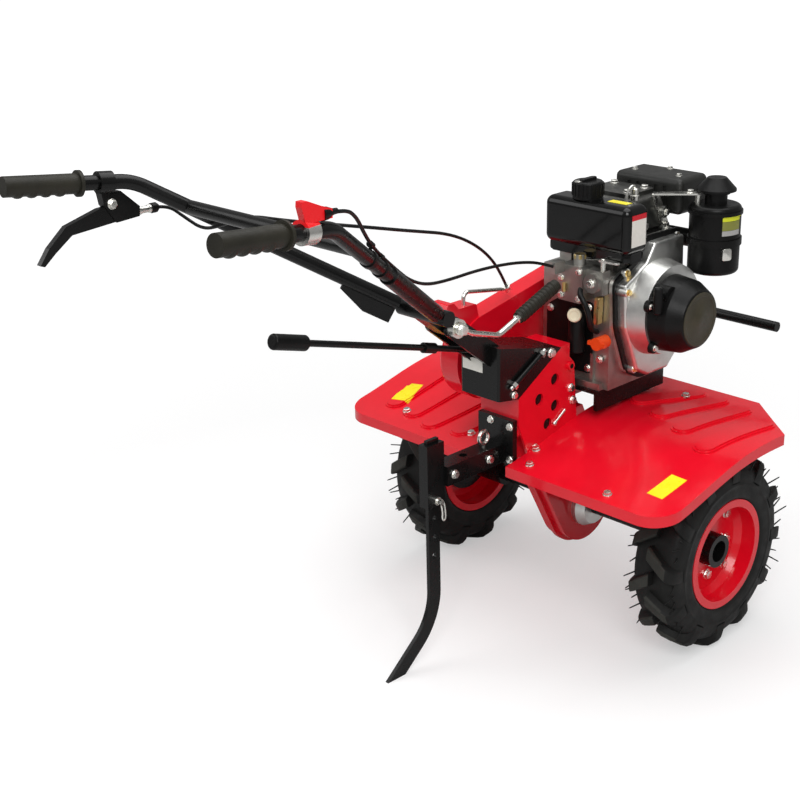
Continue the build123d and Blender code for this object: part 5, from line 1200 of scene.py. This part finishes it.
def build_floor():
    """A pale floor that keeps the shadow and grows whiter with the distance."""
    mesh = bpy.data.meshes.new("floor")
    corners = [(x * FLOOR_HALF, y * FLOOR_HALF, 0.0) for x, y in ((-1, -1), (1, -1), (1, 1), (-1, 1))]
    mesh.from_pydata(corners, [], [(0, 1, 2, 3)])
    floor = bpy.data.objects.new("floor", mesh)
    bpy.context.scene.collection.objects.link(floor)
    material, nodes, links, shader = new_material("pale_floor")
    shader.inputs["Base Color"].default_value = (FLOOR_ALBEDO, FLOOR_ALBEDO, FLOOR_ALBEDO, 1.0)
    shader.inputs["Roughness"].default_value = 0.9
    shader.inputs["Specular IOR Level"].default_value = 0.0
    shader.inputs["Emission Color"].default_value = (1.0, 1.0, 1.0, 1.0)
    where = nodes.new("ShaderNodeTexCoord")
    distance = nodes.new("ShaderNodeVectorMath")
    distance.operation = "LENGTH"
    links.new(where.outputs["Object"], distance.inputs[0])
    level = nodes.new("ShaderNodeMapRange")
    level.inputs["From Min"].default_value = GLOW_START
    level.inputs["From Max"].default_value = GLOW_END
    level.inputs["To Min"].default_value = GLOW_NEAR
    level.inputs["To Max"].default_value = GLOW_FAR
    links.new(distance.outputs["Value"], level.inputs["Value"])
    glow = nodes.new("ShaderNodeMath")
    glow.operation = "MULTIPLY"
    links.new(nodes.new("ShaderNodeLightPath").outputs["Is Camera Ray"], glow.inputs[0])
    links.new(level.outputs["Result"], glow.inputs[1])
    links.new(glow.outputs[0], shader.inputs["Emission Strength"])
    floor.data.materials.append(material)


def build_world():
    """A surround that looks white and lights softly."""
    world = bpy.data.worlds.new("studio")
    bpy.context.scene.world = world
    world.use_nodes = True
    nodes, links = world.node_tree.nodes, world.node_tree.links
    background = nodes["Background"]
    background.inputs["Color"].default_value = (1.0, 1.0, 1.0, 1.0)
    level = nodes.new("ShaderNodeMapRange")
    level.inputs["To Min"].default_value = WORLD_LIGHT
    level.inputs["To Max"].default_value = 1.0
    links.new(nodes.new("ShaderNodeLightPath").outputs["Is Camera Ray"], level.inputs["Value"])
    links.new(level.outputs["Result"], background.inputs["Strength"])


def build_lamps():
    """Soft studio lamps, aimed at the machine."""
    for name, place, size, watts in LAMPS:
        lamp = bpy.data.lights.new(name, "AREA")
        lamp.size = size
        lamp.energy = watts
        holder = bpy.data.objects.new(name, lamp)
        holder.location = place
        aim = AXLE + UP * LAMP_AIM_HEIGHT - Vector(place)
        holder.rotation_euler = aim.to_track_quat("-Z", "Y").to_euler()
        bpy.context.scene.collection.objects.link(holder)


def build_camera():
    """The photograph's view."""
    flat = math.cos(CAMERA_PITCH)
    forward = Vector((flat * math.cos(CAMERA_YAW), flat * math.sin(CAMERA_YAW), math.sin(CAMERA_PITCH)))
    level = Vector((math.sin(CAMERA_YAW), -math.cos(CAMERA_YAW), 0.0))
    upright = level.cross(forward)
    right = level * math.cos(CAMERA_ROLL) + upright * math.sin(CAMERA_ROLL)
    up = upright * math.cos(CAMERA_ROLL) - level * math.sin(CAMERA_ROLL)
    camera = bpy.data.cameras.new("camera")
    camera.sensor_width = SENSOR_MM
    camera.lens = LENS_MM
    camera.clip_end = 100.0
    holder = bpy.data.objects.new("camera", camera)
    axes = Matrix((right, up, -forward)).transposed().to_4x4()
    holder.matrix_world = Matrix.Translation(CAMERA_PLACE) @ axes
    bpy.context.scene.collection.objects.link(holder)
    bpy.context.scene.camera = holder


build_floor()
build_world()
build_lamps()
build_camera()
bpy.context.scene.view_settings.view_transform = "Standard"
